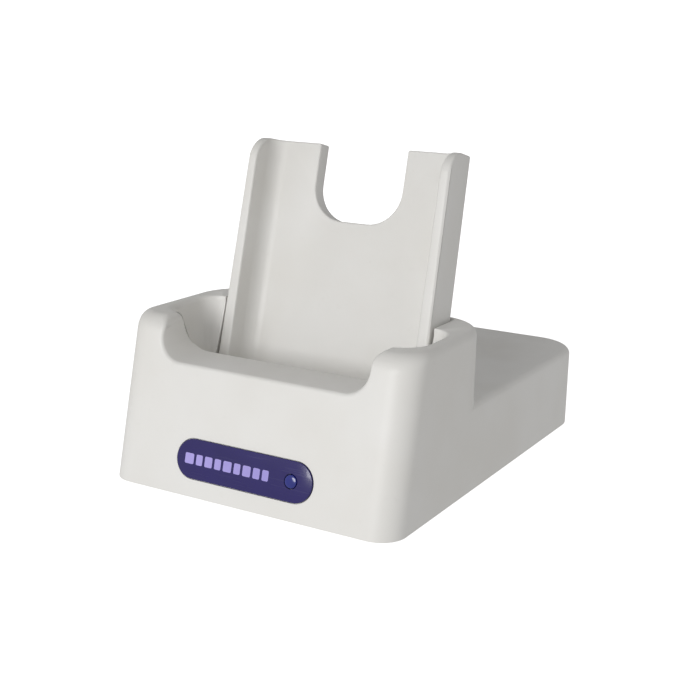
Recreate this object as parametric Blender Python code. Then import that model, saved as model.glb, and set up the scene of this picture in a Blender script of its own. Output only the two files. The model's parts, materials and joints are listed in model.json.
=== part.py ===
"""Desktop charging and sync cradle for a personal digital assistant.

A wedge-fronted block holds a funnel-shaped pocket. A leaning backrest with two
wings and a finger notch rises out of the pocket, and a low deck behind it
holds the electronics. +Z up, X across, +Y to the rear, and the origin is under
the middle of the footprint on the resting plane. Solids are drawn in millimetres
and finished in metres.
"""
from math import atan2, cos, pi, radians, sin, sqrt, tan

import bmesh
import bpy
from mathutils import Matrix, Vector

MM = 1.0
METRES = 0.001                  # metres in a millimetre

# --- Overall sizes -----------------------------------------------------------
BASE_WIDTH = 120 * MM
BASE_DEPTH = 176 * MM
BLOCK_HEIGHT = 62 * MM
BLOCK_DEPTH = 77.5 * MM
DECK_HEIGHT = 34.2 * MM
FACE_SETBACK = 13.4 * MM        # how far the front face has leaned back at the rim
FOOT_PROUD = 1.0 * MM

# --- Housing moulding --------------------------------------------------------
WALL = 2.4 * MM
FRONT_CORNER = 10 * MM
BLOCK_REAR_CORNER = 21 * MM
DECK_REAR_CORNER = 19 * MM
RIM_FRONT_ROUND = 6 * MM
RIM_SIDE_ROUND = 3 * MM
RIM_REAR_ROUND = 1.5 * MM
DECK_ROUND = 3 * MM
GAP = 0.3 * MM                  # clearance between pieces that touch

# --- Pocket, in plan at the rim and at the floor -----------------------------
POCKET_RIM_SIDE = 7 * MM        # width of the rim beside the pocket
POCKET_FLOOR_SPARE = 2 * MM     # floor beyond the channel, each side
POCKET_FRONT_RIM = 11.5 * MM    # from the front face back to the pocket at the rim
POCKET_CORNER_RIM = 12 * MM
POCKET_CORNER_FLOOR = 5 * MM
POCKET_LIP = 2.5 * MM
POCKET_LINER = 2.2 * MM
FLOOR_THICK = 3.5 * MM
RECESS_POST = 16.8 * MM         # width of the front wall beside the recess
RECESS_SILL = 47 * MM
RECESS_CORNER = 8.6 * MM
RECESS_FLARE = 4 * MM

# --- Backrest, in a frame that leans back: y behind the plate, z up the lean --
LEAN = radians(13.5)
REST_REAR_RIM = 3 * MM          # from the block's rear face to the plate's rear at the rim
REST_LENGTH = 124 * MM          # up the lean, measured from the resting plane
REST_HALF_LOW = 45.4 * MM
REST_HALF_TOP = 43.2 * MM
CHANNEL_HALF_LOW = 40 * MM
CHANNEL_HALF_TOP = 39.6 * MM
WING_REACH = 19.7 * MM
PLATE_THICK = 6.6 * MM
PLATE_SKIN = 2.2 * MM
WING_TOP_ROUND = 10 * MM
WING_EDGE = 1.2 * MM
REST_REAR_ROUND = 4 * MM
CHANNEL_FILLET = 6 * MM
NOTCH_HALF = 19 * MM
NOTCH_BOTTOM = 94.5 * MM        # up the lean
NOTCH_CORNER = 13.5 * MM
COVER_THICK = 1.8 * MM
CORE_MARGIN = 2.6 * MM
CORE_BOTTOM = 68 * MM

# --- Seat of the device and its contacts -------------------------------------
DEVICE_THICK = 22 * MM          # room for the device, plate to front wall
SEAT = 15 * MM                  # pocket floor, up the lean
SLOT_STEP = 1 * MM              # how much lower the backrest's foot stands
SEAT_PAD = 1 * MM               # how far the pad under the device rises from the floor
TOE_RELIEF = 0.6 * MM           # how far the plate's foot steps back behind the pad
CONTACTS = 6
CONTACT_PITCH = 3.6 * MM
CONTACT_REACH = 17.5 * MM       # contact row, in front of the plate's rear
CONTACT_TRAVEL = 1.6 * MM
CONTACT_TIP = 0.4 * MM          # what still stands proud when pressed
SHAFT_R = 0.8 * MM
COLLAR_R = 1.4 * MM
COLLAR_LENGTH = 1.0 * MM
BLOCK_PROUD = 1.2 * MM
CARRIER_DEPTH = 9 * MM
CARRIER_END = 3 * MM
CARRIER_DROP = 7.5 * MM
FLANGE_REACH = 5.5 * MM
FLANGE_THICK = 2.4 * MM
SPRING_WIRE = 0.36 * MM
SPRING_TURNS = 4.5

# --- Bottom cover, boards, screws and feet -----------------------------------
COVER_PLATE = 2.5 * MM
PAD_HEIGHT = 1.6 * MM
SCREW_R = 1.5 * MM
SCREW_HEAD_R = 2.8 * MM
SCREW_HEAD = 1.9 * MM
POST_R = 3 * MM
SCREW_LENGTH = 11 * MM
BOSS_R = 3.8 * MM
FRONT_BOSS_TOP = 26 * MM
WEB_HALF = 1.1 * MM
SCREW_SIDE = 7.2 * MM
SCREW_FRONT = 24 * MM
SCREW_REAR = 22 * MM
FOOT_R = 5.6 * MM
FOOT_SEAT = 1.2 * MM
FOOT_EDGE = 0.4 * MM
FOOT_SIDE = 20 * MM
FOOT_END = 12 * MM
BOARD_THICK = 1.6 * MM
BOARD_SIDE = 19 * MM            # from the housing's side to the board
BOARD_SETBACK = 16.5 * MM       # from the block's rear face to the board
BOARD_END = 1.2 * MM            # from the rear wall to the board
BOARD_STAND = 4.5 * MM
BOARD_SCREW_IN = 5.5 * MM
BOARD_SCREW_REAR = 19 * MM
HEADER_IN = 9 * MM              # from the board's front edge to the headers' middle
HEADER_SIZE = (18 * MM, 5 * MM, 6 * MM)
LED_HEADER_X = 23 * MM
LED_HEADER_WIDTH = 6 * MM
CAPACITORS = 2
CAPACITOR_SIZE = (4 * MM, 11.6 * MM)
CAPACITOR_X = 19 * MM
CABLE_THICK = 0.8 * MM
CABLE_RISE = 3 * MM             # of a cable above the cover, and of its end above the board
BALLAST_SIZE = (88 * MM, 18 * MM, 6 * MM)
BALLAST_CLEAR = 0.5 * MM        # from the lamp's board to the ballast bar
BALLAST_SCREW_X = 30 * MM
SMALL_SCREW_R = 1.1 * MM
SMALL_HEAD_R = 2.1 * MM
SMALL_HEAD = 1.4 * MM
REST_SCREW = 10 * MM
PORT_PROUD = 0.4 * MM           # how far the sockets stay inside the rear face
PORT_GAP = 0.4 * MM
JACK_SIZE = (9 * MM, 14 * MM, 11 * MM)
JACK_X = 20 * MM
JACK_BORE_R = 2.9 * MM
JACK_PIN_R = 1.0 * MM
DATA_SIZE = (12 * MM, 16 * MM, 10.8 * MM)
DATA_X = -8 * MM
DATA_WELL = (8.8 * MM, 8.0 * MM)
DATA_TONGUE = (5.6 * MM, 3.0 * MM)

# --- Badge and status light on the front face --------------------------------
BADGE_X = -1 * MM
BADGE_HALF = 28.6 * MM
BADGE_R = 7.2 * MM
BADGE_HEIGHT = 14.6 * MM
BADGE_SEAT = 1.0 * MM
BADGE_PROUD = 0.5 * MM
LENS_X = 20 * MM                # from the badge's middle
LENS_R = 2.4 * MM
LENS_LENGTH = 5.2 * MM
LENS_CROWN = 0.4 * MM
LED_LENGTH = 2.4 * MM
LED_R = 1.9 * MM
LED_BOARD = (14 * MM, 1.2 * MM, 8 * MM)

# --- Sizes worked out from the ones above ------------------------------------
FRONT_Y = -BASE_DEPTH / 2
REAR_Y = BASE_DEPTH / 2
BLOCK_REAR_Y = FRONT_Y + BLOCK_DEPTH
FACE_LEAN = atan2(FACE_SETBACK, BLOCK_HEIGHT - FOOT_PROUD)
REST_FOOT_Y = BLOCK_REAR_Y - REST_REAR_RIM - BLOCK_HEIGHT * tan(LEAN)
SIDE_X = BASE_WIDTH / 2
POCKET_HALF_RIM = SIDE_X - POCKET_RIM_SIDE
POCKET_HALF_FLOOR = CHANNEL_HALF_LOW + POCKET_FLOOR_SPARE
RECESS_HALF = SIDE_X - RECESS_POST
COVER_TOP = FOOT_PROUD + COVER_PLATE
BOARD_BOTTOM = COVER_TOP + BOARD_STAND + GAP
BOARD_TOP = BOARD_BOTTOM + BOARD_THICK
PART_BOTTOM = BOARD_TOP + GAP
SPRING_SEAT = SEAT - CARRIER_DROP
COLLAR_TOP = SEAT - 2 * GAP
COLLAR_BOTTOM = COLLAR_TOP - COLLAR_LENGTH
BOARD_HALF = SIDE_X - BOARD_SIDE
BOARD_FRONT = BLOCK_REAR_Y + BOARD_SETBACK
BOARD_REAR = REAR_Y - WALL - BOARD_END
BALLAST_TOP = COVER_TOP + GAP + BALLAST_SIZE[2]

LEAN_FRAME = Matrix.Translation((0, REST_FOOT_Y, 0)) @ Matrix.Rotation(-LEAN, 4, "X")
FACE_FRAME = Matrix.Translation((0, FRONT_Y, FOOT_PROUD)) @ Matrix.Rotation(-FACE_LEAN, 4, "X")

COLOURS = {
    "shell": ((0.80, 0.79, 0.77), 0.42, 0.0),
    "cover": ((0.72, 0.71, 0.69), 0.5, 0.0),
    "badge": ((0.012, 0.008, 0.16), 0.25, 0.0),
    "lens": ((0.10, 0.14, 0.62), 0.15, 0.0),
    "led": ((0.75, 0.80, 0.95), 0.2, 0.0),
    "board": ((0.02, 0.16, 0.07), 0.45, 0.0),
    "chip": ((0.02, 0.02, 0.022), 0.4, 0.0),
    "black": ((0.03, 0.03, 0.032), 0.45, 0.0),
    "steel": ((0.62, 0.63, 0.65), 0.3, 1.0),
    "gold": ((0.85, 0.62, 0.25), 0.25, 1.0),
    "ballast": ((0.42, 0.43, 0.45), 0.5, 1.0),
    "rubber": ((0.05, 0.05, 0.05), 0.9, 0.0),
    "cable": ((0.55, 0.55, 0.57), 0.5, 0.0),
}


def material(name):
    """One Principled material for each entry of COLOURS."""
    made = bpy.data.materials.get(name)
    if made:
        return made
    colour, roughness, metallic = COLOURS[name]
    made = bpy.data.materials.new(name)
    made.use_nodes = True
    shader = made.node_tree.nodes["Principled BSDF"]
    shader.inputs["Base Color"].default_value = (*colour, 1)
    shader.inputs["Roughness"].default_value = roughness
    shader.inputs["Metallic"].default_value = metallic
    made.diffuse_color = (*colour, 1)
    return made


# --- Outlines ----------------------------------------------------------------
def arc(centre, radius, start, end, steps):
    """Points on an arc, angles in degrees."""
    angles = [radians(start + (end - start) * i / steps) for i in range(steps + 1)]
    return [(centre[0] + radius * cos(a), centre[1] + radius * sin(a)) for a in angles]


def rounded_plan(half, front, rear, front_r, rear_r, steps=5):
    """Anticlockwise rectangle with round corners, front edge at the smaller y."""
    f, r = max(front_r, 0.5 * MM), max(rear_r, 0.5 * MM)
    points = arc((half - f, front + f), f, -90, 0, steps)
    points += arc((half - r, rear - r), r, 0, 90, steps)
    points += arc((-half + r, rear - r), r, 90, 180, steps)
    return points + arc((-half + f, front + f), f, 180, 270, steps)


def u_notch(half, bottom, top, corner, flare=0.0, steps=6):
    """Anticlockwise U that is open upward; flare rounds its mouth outward."""
    right = arc((half - corner, bottom + corner), corner, -90, 0, steps)
    left = arc((-half + corner, bottom + corner), corner, 180, 270, steps)
    if not flare:
        return right + [(half, top), (-half, top)] + left
    mouth = arc((half + flare, top - flare), flare, 180, 90, steps)
    above = top + flare
    edge = [(half + flare, above), (-half - flare, above)]
    return right + mouth + edge + [(-x, z) for x, z in reversed(mouth)] + left


def pill(half, radius, steps=10):
    """Anticlockwise pill outline around the origin."""
    return arc((half - radius, 0), radius, -90, 90, steps) + arc((radius - half, 0), radius, 90, 270, steps)


# --- Solids ------------------------------------------------------------------
def new_object(name, bm, frame=None):
    bmesh.ops.triangulate(bm, faces=[f for f in bm.faces if len(f.verts) > 4])
    bmesh.ops.recalc_face_normals(bm, faces=bm.faces)
    mesh = bpy.data.meshes.new(name)
    bm.to_mesh(mesh)
    bm.free()
    made = bpy.data.objects.new(name, mesh)
    bpy.context.scene.collection.objects.link(made)
    if frame is not None:
        mesh.transform(frame)
    return made


def loft(name, rings, frame=None):
    """Closed solid through rings of equal length, each a list of 3D points."""
    bm = bmesh.new()
    loops = [[bm.verts.new(p) for p in ring] for ring in rings]
    count = len(loops[0])
    for low, high in zip(loops, loops[1:]):
        for i in range(count):
            j = (i + 1) % count
            bm.faces.new((low[i], low[j], high[j], high[i]))
    bm.faces.new(list(reversed(loops[0])))
    bm.faces.new(loops[-1])
    return new_object(name, bm, frame)


def prism(name, outline, low, high, frame=None, axis="Z"):
    """Straight solid: outline in XZ pushed along Y, in YZ along X, or in XY along Z."""
    place = {
        "X": lambda p, d: (d, p[0], p[1]),
        "Y": lambda p, d: (p[0], d, p[1]),
        "Z": lambda p, d: (p[0], p[1], d),
    }[axis]
    return loft(name, [[place(p, d) for p in outline] for d in (low, high)], frame)


def box(name, x, y, z, frame=None):
    """Box from three (low, high) pairs."""
    return prism(name, [(x[0], y[0]), (x[1], y[0]), (x[1], y[1]), (x[0], y[1])], *z, frame)


def turned(name, profile, frame=None, sides=12):
    """Solid turned about Z from (radius, z) points that run upward."""
    angles = [2 * pi * i / sides for i in range(sides)]
    rings = [[(r * cos(a), r * sin(a), z) for a in angles] for r, z in profile]
    return loft(name, rings, frame)


def cylinder(name, radius, low, high, frame=None, sides=12):
    return turned(name, [(radius, low), (radius, high)], frame, sides)


def at(x, y, z=0.0):
    return Matrix.Translation((x, y, z))


def clean(mesh, triangles=False):
    """Weld the hairline slivers that a Boolean can leave."""
    bm = bmesh.new()
    bm.from_mesh(mesh)
    bmesh.ops.remove_doubles(bm, verts=bm.verts, dist=0.002 * MM)
    bmesh.ops.dissolve_degenerate(bm, edges=bm.edges, dist=0.002 * MM)
    if triangles:
        bmesh.ops.triangulate(bm, faces=bm.faces)
    bm.to_mesh(mesh)
    bm.free()


def combine(target, other, operation):
    """Apply one exact Boolean and drop the second solid."""
    modifier = target.modifiers.new(operation.lower(), "BOOLEAN")
    modifier.operation = operation
    modifier.object = other
    bpy.context.view_layer.update()
    evaluated = target.evaluated_get(bpy.context.evaluated_depsgraph_get())
    mesh = bpy.data.meshes.new_from_object(evaluated)
    target.modifiers.clear()
    target.data = mesh
    bpy.data.objects.remove(other)
    clean(mesh)


def cut(target, *cutters):
    for cutter in cutters:
        combine(target, cutter, "DIFFERENCE")


def join(target, *others):
    for other in others:
        combine(target, other, "UNION")


def finish(obj, colour, frame=None, smooth=True):
    """Clean and scale the mesh, give it its material and set the object in its frame."""
    clean(obj.data, triangles=True)
    obj.data.transform(Matrix.Scale(METRES, 4))
    if frame is not None:
        placed = frame.copy()
        placed.translation *= METRES
        obj.matrix_world = placed
    obj.data.materials.clear()
    obj.data.materials.append(material(colour))
    if smooth:
        obj.data.shade_smooth()
        obj.data.set_sharp_from_angle(angle=radians(35))
    return obj


# --- Shapes that several pieces share ----------------------------------------
def face_y(z):
    """Y of the leaning front face at a height."""
    return FRONT_Y + (z - FOOT_PROUD) * tan(FACE_LEAN)


def rest_plane_y(z, reach):
    """Y of a plane in front of the plate's rear by reach, at a height."""
    return REST_FOOT_Y + z * tan(LEAN) - reach / cos(LEAN)


def round_inset(z, top, radius):
    """How far a rounded top edge has drawn in at height z."""
    above = z - (top - radius)
    if radius <= 0 or above <= 0:
        return 0.0
    return radius - sqrt(max(radius ** 2 - above ** 2, 0))


def tub(name, inset, low, height, rear, rear_corner, rounds):
    """Leaning-fronted block with rounded top edges; rounds are front, side, rear."""
    top = height - inset
    front_round, side_round, rear_round = (max(r - inset, 0.4 * MM) for r in rounds)
    steps = 5
    levels = [low] + [top - front_round * (1 - sin(pi / 2 * i / steps)) for i in range(steps + 1)]
    rings = []
    for z in levels:
        side = inset + round_inset(z, top, side_round)
        front = face_y(z) + inset + round_inset(z, top, front_round)
        back = rear - inset - round_inset(z, top, rear_round)
        plan = rounded_plan(SIDE_X - side, front, back, FRONT_CORNER - side, rear_corner - side)
        rings.append([(x, y, z) for x, y in plan])
    return loft(name, rings)


def block_tub(name, inset, low):
    rounds = (RIM_FRONT_ROUND, RIM_SIDE_ROUND, RIM_REAR_ROUND)
    return tub(name, inset, low, BLOCK_HEIGHT, BLOCK_REAR_Y, BLOCK_REAR_CORNER, rounds)


def deck_tub(name, inset, low):
    rounds = (DECK_ROUND, DECK_ROUND, DECK_ROUND)
    return tub(name, inset, low, DECK_HEIGHT, REAR_Y, DECK_REAR_CORNER, rounds)


def pocket(name, grow, drop, lip):
    """Funnel from the leaning floor up through the level rim."""
    def floor_z(y):
        return (SEAT - drop) / cos(LEAN) - tan(LEAN) * (y - REST_FOOT_Y)

    seat_reach = PLATE_THICK + DEVICE_THICK
    low_front = REST_FOOT_Y - seat_reach * cos(LEAN) + SEAT * sin(LEAN)
    low_rear = REST_FOOT_Y - (WING_REACH - WING_EDGE) * cos(LEAN) + SEAT * sin(LEAN)
    high_front = face_y(BLOCK_HEIGHT) + POCKET_FRONT_RIM
    high_rear = rest_plane_y(BLOCK_HEIGHT, WING_REACH - WING_EDGE)
    lip_start = 1 - lip / BLOCK_HEIGHT

    def ring(t, spread, lift):
        share = min(t, 1)
        half = POCKET_HALF_FLOOR + (POCKET_HALF_RIM - POCKET_HALF_FLOOR) * share + grow + spread
        front = low_front + (high_front - low_front) * share - grow - spread
        rear = low_rear + (high_rear - low_rear) * share + grow
        corner = POCKET_CORNER_FLOOR + (POCKET_CORNER_RIM - POCKET_CORNER_FLOOR) * share + grow
        plan = rounded_plan(half, front, rear, corner, corner * 0.7)
        return [(x, y, (1 - share) * floor_z(y) + share * BLOCK_HEIGHT + lift) for x, y in plan]

    rings = [ring(0, 0, 0), ring(lip_start * 0.5, 0, 0)]
    if lip:
        for i in range(5):
            angle = pi / 2 * i / 4
            rings.append(ring(1, lip * (1 - cos(angle)), lip * (sin(angle) - 1)))
        rings.append(ring(1, lip, 2 * MM))
    else:
        rings.append(ring(1, 0, -WALL))
    return loft(name, rings)


def rest_slot(name, grow, drop):
    """The slot that the backrest stands in, or what lines it."""
    half = REST_HALF_LOW + grow
    return box(name, (-half, half), (-WING_REACH - grow, grow), (SEAT - drop, REST_LENGTH))


def slot_space():
    """The slot's own space, round the raised pad that carries the device."""
    space = rest_slot("slot_space", GAP, SLOT_STEP)
    pad = rounded_plan(CHANNEL_HALF_LOW - GAP, -2 * WING_REACH, -PLATE_THICK - GAP, MM, CHANNEL_FILLET)
    cut(space, prism("pad", pad, 0, SEAT + SEAT_PAD))
    space.data.transform(LEAN_FRAME)
    return space


def recess(name, grow):
    """Thumb recess in the double front wall, pushed from the face into the pocket."""
    outline = u_notch(RECESS_HALF + grow, RECESS_SILL - grow, BLOCK_HEIGHT - grow / 2,
                      RECESS_CORNER + grow, RECESS_FLARE)
    reach = face_y(BLOCK_HEIGHT) + POCKET_FRONT_RIM + 3 * POCKET_LIP
    return prism(name, outline, FRONT_Y - 5 * MM, reach, axis="Y")


def screw(name, shaft_r, length, head_r, head, frame, colour="steel"):
    """Pan-head screw, head below, shaft upward, origin at the head's bearing face."""
    profile = [(head_r * 0.8, -head), (head_r, -head * 0.6), (head_r, 0), (shaft_r, 0),
               (shaft_r, length - shaft_r), (shaft_r * 0.4, length)]
    return finish(turned(name, profile, sides=10), colour, frame)


def strip(name, path, x, width, thick, colour):
    """Flat cable laid through (y, z) points."""
    rings = []
    for i, point in enumerate(path):
        before = path[max(i - 1, 0)]
        after = path[min(i + 1, len(path) - 1)]
        along = Vector((after[0] - before[0], after[1] - before[1])).normalized()
        up = Vector((-along.y, along.x)) * thick / 2
        high = (point[0] + up.x, point[1] + up.y)
        low = (point[0] - up.x, point[1] - up.y)
        left, right = x - width / 2, x + width / 2
        rings.append([(left, *low), (right, *low), (right, *high), (left, *high)])
    return finish(loft(name, rings), colour, smooth=False)


# --- Places that several pieces share ----------------------------------------
def corners(x, front, rear):
    return [(-x, front), (x, front), (-x, rear), (x, rear)]


def housing_screw_places():
    return corners(SIDE_X - SCREW_SIDE, FRONT_Y + SCREW_FRONT, REAR_Y - SCREW_REAR)


def foot_places():
    return corners(SIDE_X - FOOT_SIDE, FRONT_Y + FOOT_END, REAR_Y - FOOT_END)


def board_screw_places():
    return corners(BOARD_HALF - BOARD_SCREW_IN, BOARD_FRONT + BOARD_SCREW_IN, BOARD_REAR - BOARD_SCREW_REAR)


def badge_frame():
    """Middle of the badge, in the plane of the front face."""
    return FACE_FRAME @ at(BADGE_X, 0, (BADGE_HEIGHT - FOOT_PROUD) / cos(FACE_LEAN))


def led_board_back():
    """How far the back of the lamp's board is behind the front face."""
    return LENS_LENGTH - BADGE_PROUD + 2 * GAP + LED_LENGTH + LED_BOARD[1]


def ballast_y():
    """Middle of the ballast bar, which stands behind the lamp's board."""
    board_edge = badge_frame() @ Vector((0, led_board_back(), LED_BOARD[2] / 2))
    return board_edge.y + BALLAST_CLEAR + BALLAST_SIZE[1] / 2


def ballast_screw_places():
    return [(-BALLAST_SCREW_X, ballast_y()), (BALLAST_SCREW_X, ballast_y())]


def rest_screw_places():
    """In the leaning frame, up through the pocket floor into the wings."""
    x = (REST_HALF_LOW + CHANNEL_HALF_LOW) / 2
    return [(-x, -WING_REACH / 2), (x, -WING_REACH / 2)]


def carrier_half():
    return (CONTACTS - 1) * CONTACT_PITCH / 2 + CARRIER_END


def contact_screw_places():
    x = carrier_half() + FLANGE_REACH / 2
    return [(-x, -CONTACT_REACH), (x, -CONTACT_REACH)]


def contact_places():
    first = -(CONTACTS - 1) * CONTACT_PITCH / 2
    return [first + i * CONTACT_PITCH for i in range(CONTACTS)]


# --- Pieces ------------------------------------------------------------------
def build_housing():
    below = -5 * MM
    shell = block_tub("upper_housing", 0, FOOT_PROUD)
    join(shell, deck_tub("deck", 0, FOOT_PROUD))

    hollow = block_tub("hollow", WALL, below)
    join(hollow, deck_tub("deck_hollow", WALL, below))
    slot_liner = rest_slot("slot_liner", GAP + POCKET_LINER, SLOT_STEP + FLOOR_THICK)
    slot_liner.data.transform(LEAN_FRAME)
    cut(hollow, pocket("pocket_liner", POCKET_LINER, FLOOR_THICK, 0), slot_liner,
        recess("recess_liner", WALL))
    boss_bottom = COVER_TOP + PAD_HEIGHT + GAP
    for x, y in housing_screw_places():
        top = FRONT_BOSS_TOP if y < 0 else DECK_HEIGHT
        cut(hollow, cylinder("boss", BOSS_R, boss_bottom, top, at(x, y)))
        wall = SIDE_X - WALL / 2
        web = (x, wall) if x > 0 else (-wall, x)
        cut(hollow, box("boss_web", web, (y - WEB_HALF, y + WEB_HALF), (boss_bottom, top - WEB_HALF)))
    cut(shell, hollow)

    cut(shell, pocket("pocket_space", 0, 0, POCKET_LIP), slot_space(), recess("recess_space", 0))
    for x, y in housing_screw_places():
        cut(shell, cylinder("pilot", SCREW_R + GAP, below, SCREW_LENGTH + boss_bottom, at(x, y)))

    half = carrier_half() + GAP
    depth = CARRIER_DEPTH / 2 + GAP
    cut(shell, box("contact_window", (-half, half), (-CONTACT_REACH - depth, -CONTACT_REACH + depth),
                   (SEAT - 2 * FLOOR_THICK, SEAT + FLOOR_THICK), LEAN_FRAME))
    for x, y in contact_screw_places() + rest_screw_places():
        low, high = SEAT - 2 * FLOOR_THICK, SEAT - PLATE_SKIN / 2
        if abs(x) > CHANNEL_HALF_TOP:
            high = SEAT + FLOOR_THICK
        cut(shell, cylinder("floor_hole", SMALL_SCREW_R + GAP, low, high, LEAN_FRAME @ at(x, y)))

    seat = pill(BADGE_HALF + GAP, BADGE_R + GAP)
    lift = badge_frame()
    cut(shell, prism("badge_seat", seat, -5 * MM, BADGE_SEAT, lift, "Y"))
    turn = Matrix.Rotation(-pi / 2, 4, "X")
    cut(shell, cylinder("lens_hole", LENS_R + GAP, -5 * MM, 3 * WALL, lift @ at(LENS_X, 0) @ turn))

    for x, size in ((JACK_X, JACK_SIZE), (DATA_X, DATA_SIZE)):
        half = size[0] / 2 + PORT_GAP
        cut(shell, box("port_window", (x - half, x + half), (REAR_Y - 2 * WALL, REAR_Y + WALL),
                       (PART_BOTTOM - PORT_GAP, PART_BOTTOM + size[2] + PORT_GAP)))
    return finish(shell, "shell")


def rest_core(name, margin, depth, proud):
    """The rear coring of the backrest, or the cover that closes it."""
    half = REST_HALF_TOP - margin
    core = box(name, (-half, half), (-depth, proud), (CORE_BOTTOM + margin, REST_LENGTH - margin))
    around = u_notch(NOTCH_HALF + margin, NOTCH_BOTTOM - margin, REST_LENGTH + margin, NOTCH_CORNER + margin)
    cut(core, prism("notch_wall", around, -WING_REACH, WING_REACH, axis="Y"))
    return core


def build_backrest():
    foot = SEAT - SLOT_STEP + GAP

    def rings(low_half, top_half, front, rear, front_r, rear_r, low, high):
        slope = (top_half - low_half) / (REST_LENGTH - foot)
        made = []
        for z in (low, high):
            half = low_half + slope * (z - foot)
            made.append([(x, y, z) for x, y in rounded_plan(half, front, rear, front_r, rear_r)])
        return made

    body = loft("backrest", rings(REST_HALF_LOW, REST_HALF_TOP, -WING_REACH, 0, WING_EDGE,
                                  REST_REAR_ROUND, foot, REST_LENGTH))
    cut(body, loft("channel", rings(CHANNEL_HALF_LOW, CHANNEL_HALF_TOP, -2 * WING_REACH, -PLATE_THICK,
                                    1 * MM, CHANNEL_FILLET, 0, REST_LENGTH + foot)))
    toe = CHANNEL_HALF_LOW - CHANNEL_FILLET / 2
    cut(body, box("toe", (-toe, toe), (-PLATE_THICK - CHANNEL_FILLET, -PLATE_THICK + TOE_RELIEF),
                  (0, SEAT + SEAT_PAD + GAP)))
    notch = u_notch(NOTCH_HALF, NOTCH_BOTTOM, REST_LENGTH + foot, NOTCH_CORNER)
    cut(body, prism("notch", notch, -2 * WING_REACH, WING_REACH, axis="Y"))

    centre = (-WING_REACH + WING_TOP_ROUND, REST_LENGTH - WING_TOP_ROUND)
    corner = arc(centre, WING_TOP_ROUND, 90, 180, 6)
    corner += [(-2 * WING_REACH, centre[1]), (-2 * WING_REACH, 2 * REST_LENGTH), (centre[0], 2 * REST_LENGTH)]
    cut(body, prism("wing_top", corner, -SIDE_X, SIDE_X, axis="X"))

    cut(body, rest_core("core", CORE_MARGIN, PLATE_THICK - PLATE_SKIN, 5 * MM))
    for x, y in rest_screw_places():
        cut(body, cylinder("screw_hole", SMALL_SCREW_R + GAP, 0, SEAT + 3 * FLOOR_THICK, at(x, y)))
    finish(body, "shell", LEAN_FRAME)
    cover = rest_core("backrest_rear_cover", CORE_MARGIN + GAP, COVER_THICK, 0)
    finish(cover, "cover", LEAN_FRAME)


def build_contacts():
    """Carrier, spring-loaded contacts, their board and the two fixing screws."""
    half = carrier_half()
    front, back = -CONTACT_REACH - CARRIER_DEPTH / 2, -CONTACT_REACH + CARRIER_DEPTH / 2
    flange_top = SEAT - SLOT_STEP - FLOOR_THICK - GAP
    wide = half + FLANGE_REACH
    carrier = box("contact_carrier", (-half, half), (front, back), (SPRING_SEAT + GAP, SEAT + BLOCK_PROUD))
    join(carrier, box("flange", (-wide, wide), (front - MM, back + MM),
                      (flange_top - FLANGE_THICK, flange_top)))
    for x in contact_places():
        place = at(x, -CONTACT_REACH)
        cut(carrier, cylinder("bore", COLLAR_R + GAP, 0, COLLAR_TOP + GAP, place),
            cylinder("mouth", SHAFT_R + GAP, SEAT - MM, SEAT + 2 * BLOCK_PROUD, place))
    for x, y in contact_screw_places():
        cut(carrier, cylinder("hole", SMALL_SCREW_R + GAP, 0, SEAT, at(x, y)))
    finish(carrier, "black", LEAN_FRAME)

    board_top = SPRING_SEAT
    board = box("contact_board", (-wide, wide), (front - MM, back + MM), (board_top - BOARD_THICK, board_top))
    for x, y in contact_screw_places():
        cut(board, cylinder("hole", SMALL_SCREW_R + GAP, 0, SEAT, at(x, y)))
    finish(board, "board", LEAN_FRAME, smooth=False)

    bearing = board_top - BOARD_THICK - GAP
    reach = SEAT - PLATE_SKIN / 2 - GAP - bearing
    for i, (x, y) in enumerate(contact_screw_places(), 1):
        frame = LEAN_FRAME @ at(x, y, bearing)
        screw(f"contact_screw_{i}", SMALL_SCREW_R, reach, SMALL_HEAD_R, SMALL_HEAD, frame)

    for i, x in enumerate(contact_places(), 1):
        frame = LEAN_FRAME @ at(x, -CONTACT_REACH, COLLAR_BOTTOM)
        top = SEAT + BLOCK_PROUD + CONTACT_TIP + CONTACT_TRAVEL - COLLAR_BOTTOM
        collar = [(COLLAR_R, 0), (COLLAR_R, COLLAR_LENGTH), (SHAFT_R, COLLAR_LENGTH)]
        tip = [(SHAFT_R, top - SHAFT_R), (SHAFT_R * 0.75, top - SHAFT_R * 0.35), (SHAFT_R * 0.3, top)]
        plunger = turned(f"contact_pin_{i}", collar + tip, sides=10)
        finish(plunger, "gold", frame)
        finish(coil(f"contact_spring_{i}"), "steel", LEAN_FRAME @ at(x, -CONTACT_REACH))


def coil(name):
    """Round-wire compression spring between the contact board and the collar."""
    low = SPRING_SEAT + GAP + SPRING_WIRE / 2
    high = COLLAR_BOTTOM - GAP - SPRING_WIRE / 2
    radius = COLLAR_R - SPRING_WIRE
    per_turn, sides = 8, 4
    count = int(SPRING_TURNS * per_turn)
    rise = (high - low) / count
    rings = []
    for i in range(count + 1):
        angle = 2 * pi * i / per_turn
        out = Vector((cos(angle), sin(angle), 0))
        centre = out * radius + Vector((0, 0, low + rise * i))
        section = [2 * pi * k / sides for k in range(sides)]
        rings.append([centre + (out * cos(s) + Vector((0, 0, sin(s)))) * SPRING_WIRE / 2 for s in section])
    return loft(name, rings)


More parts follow.
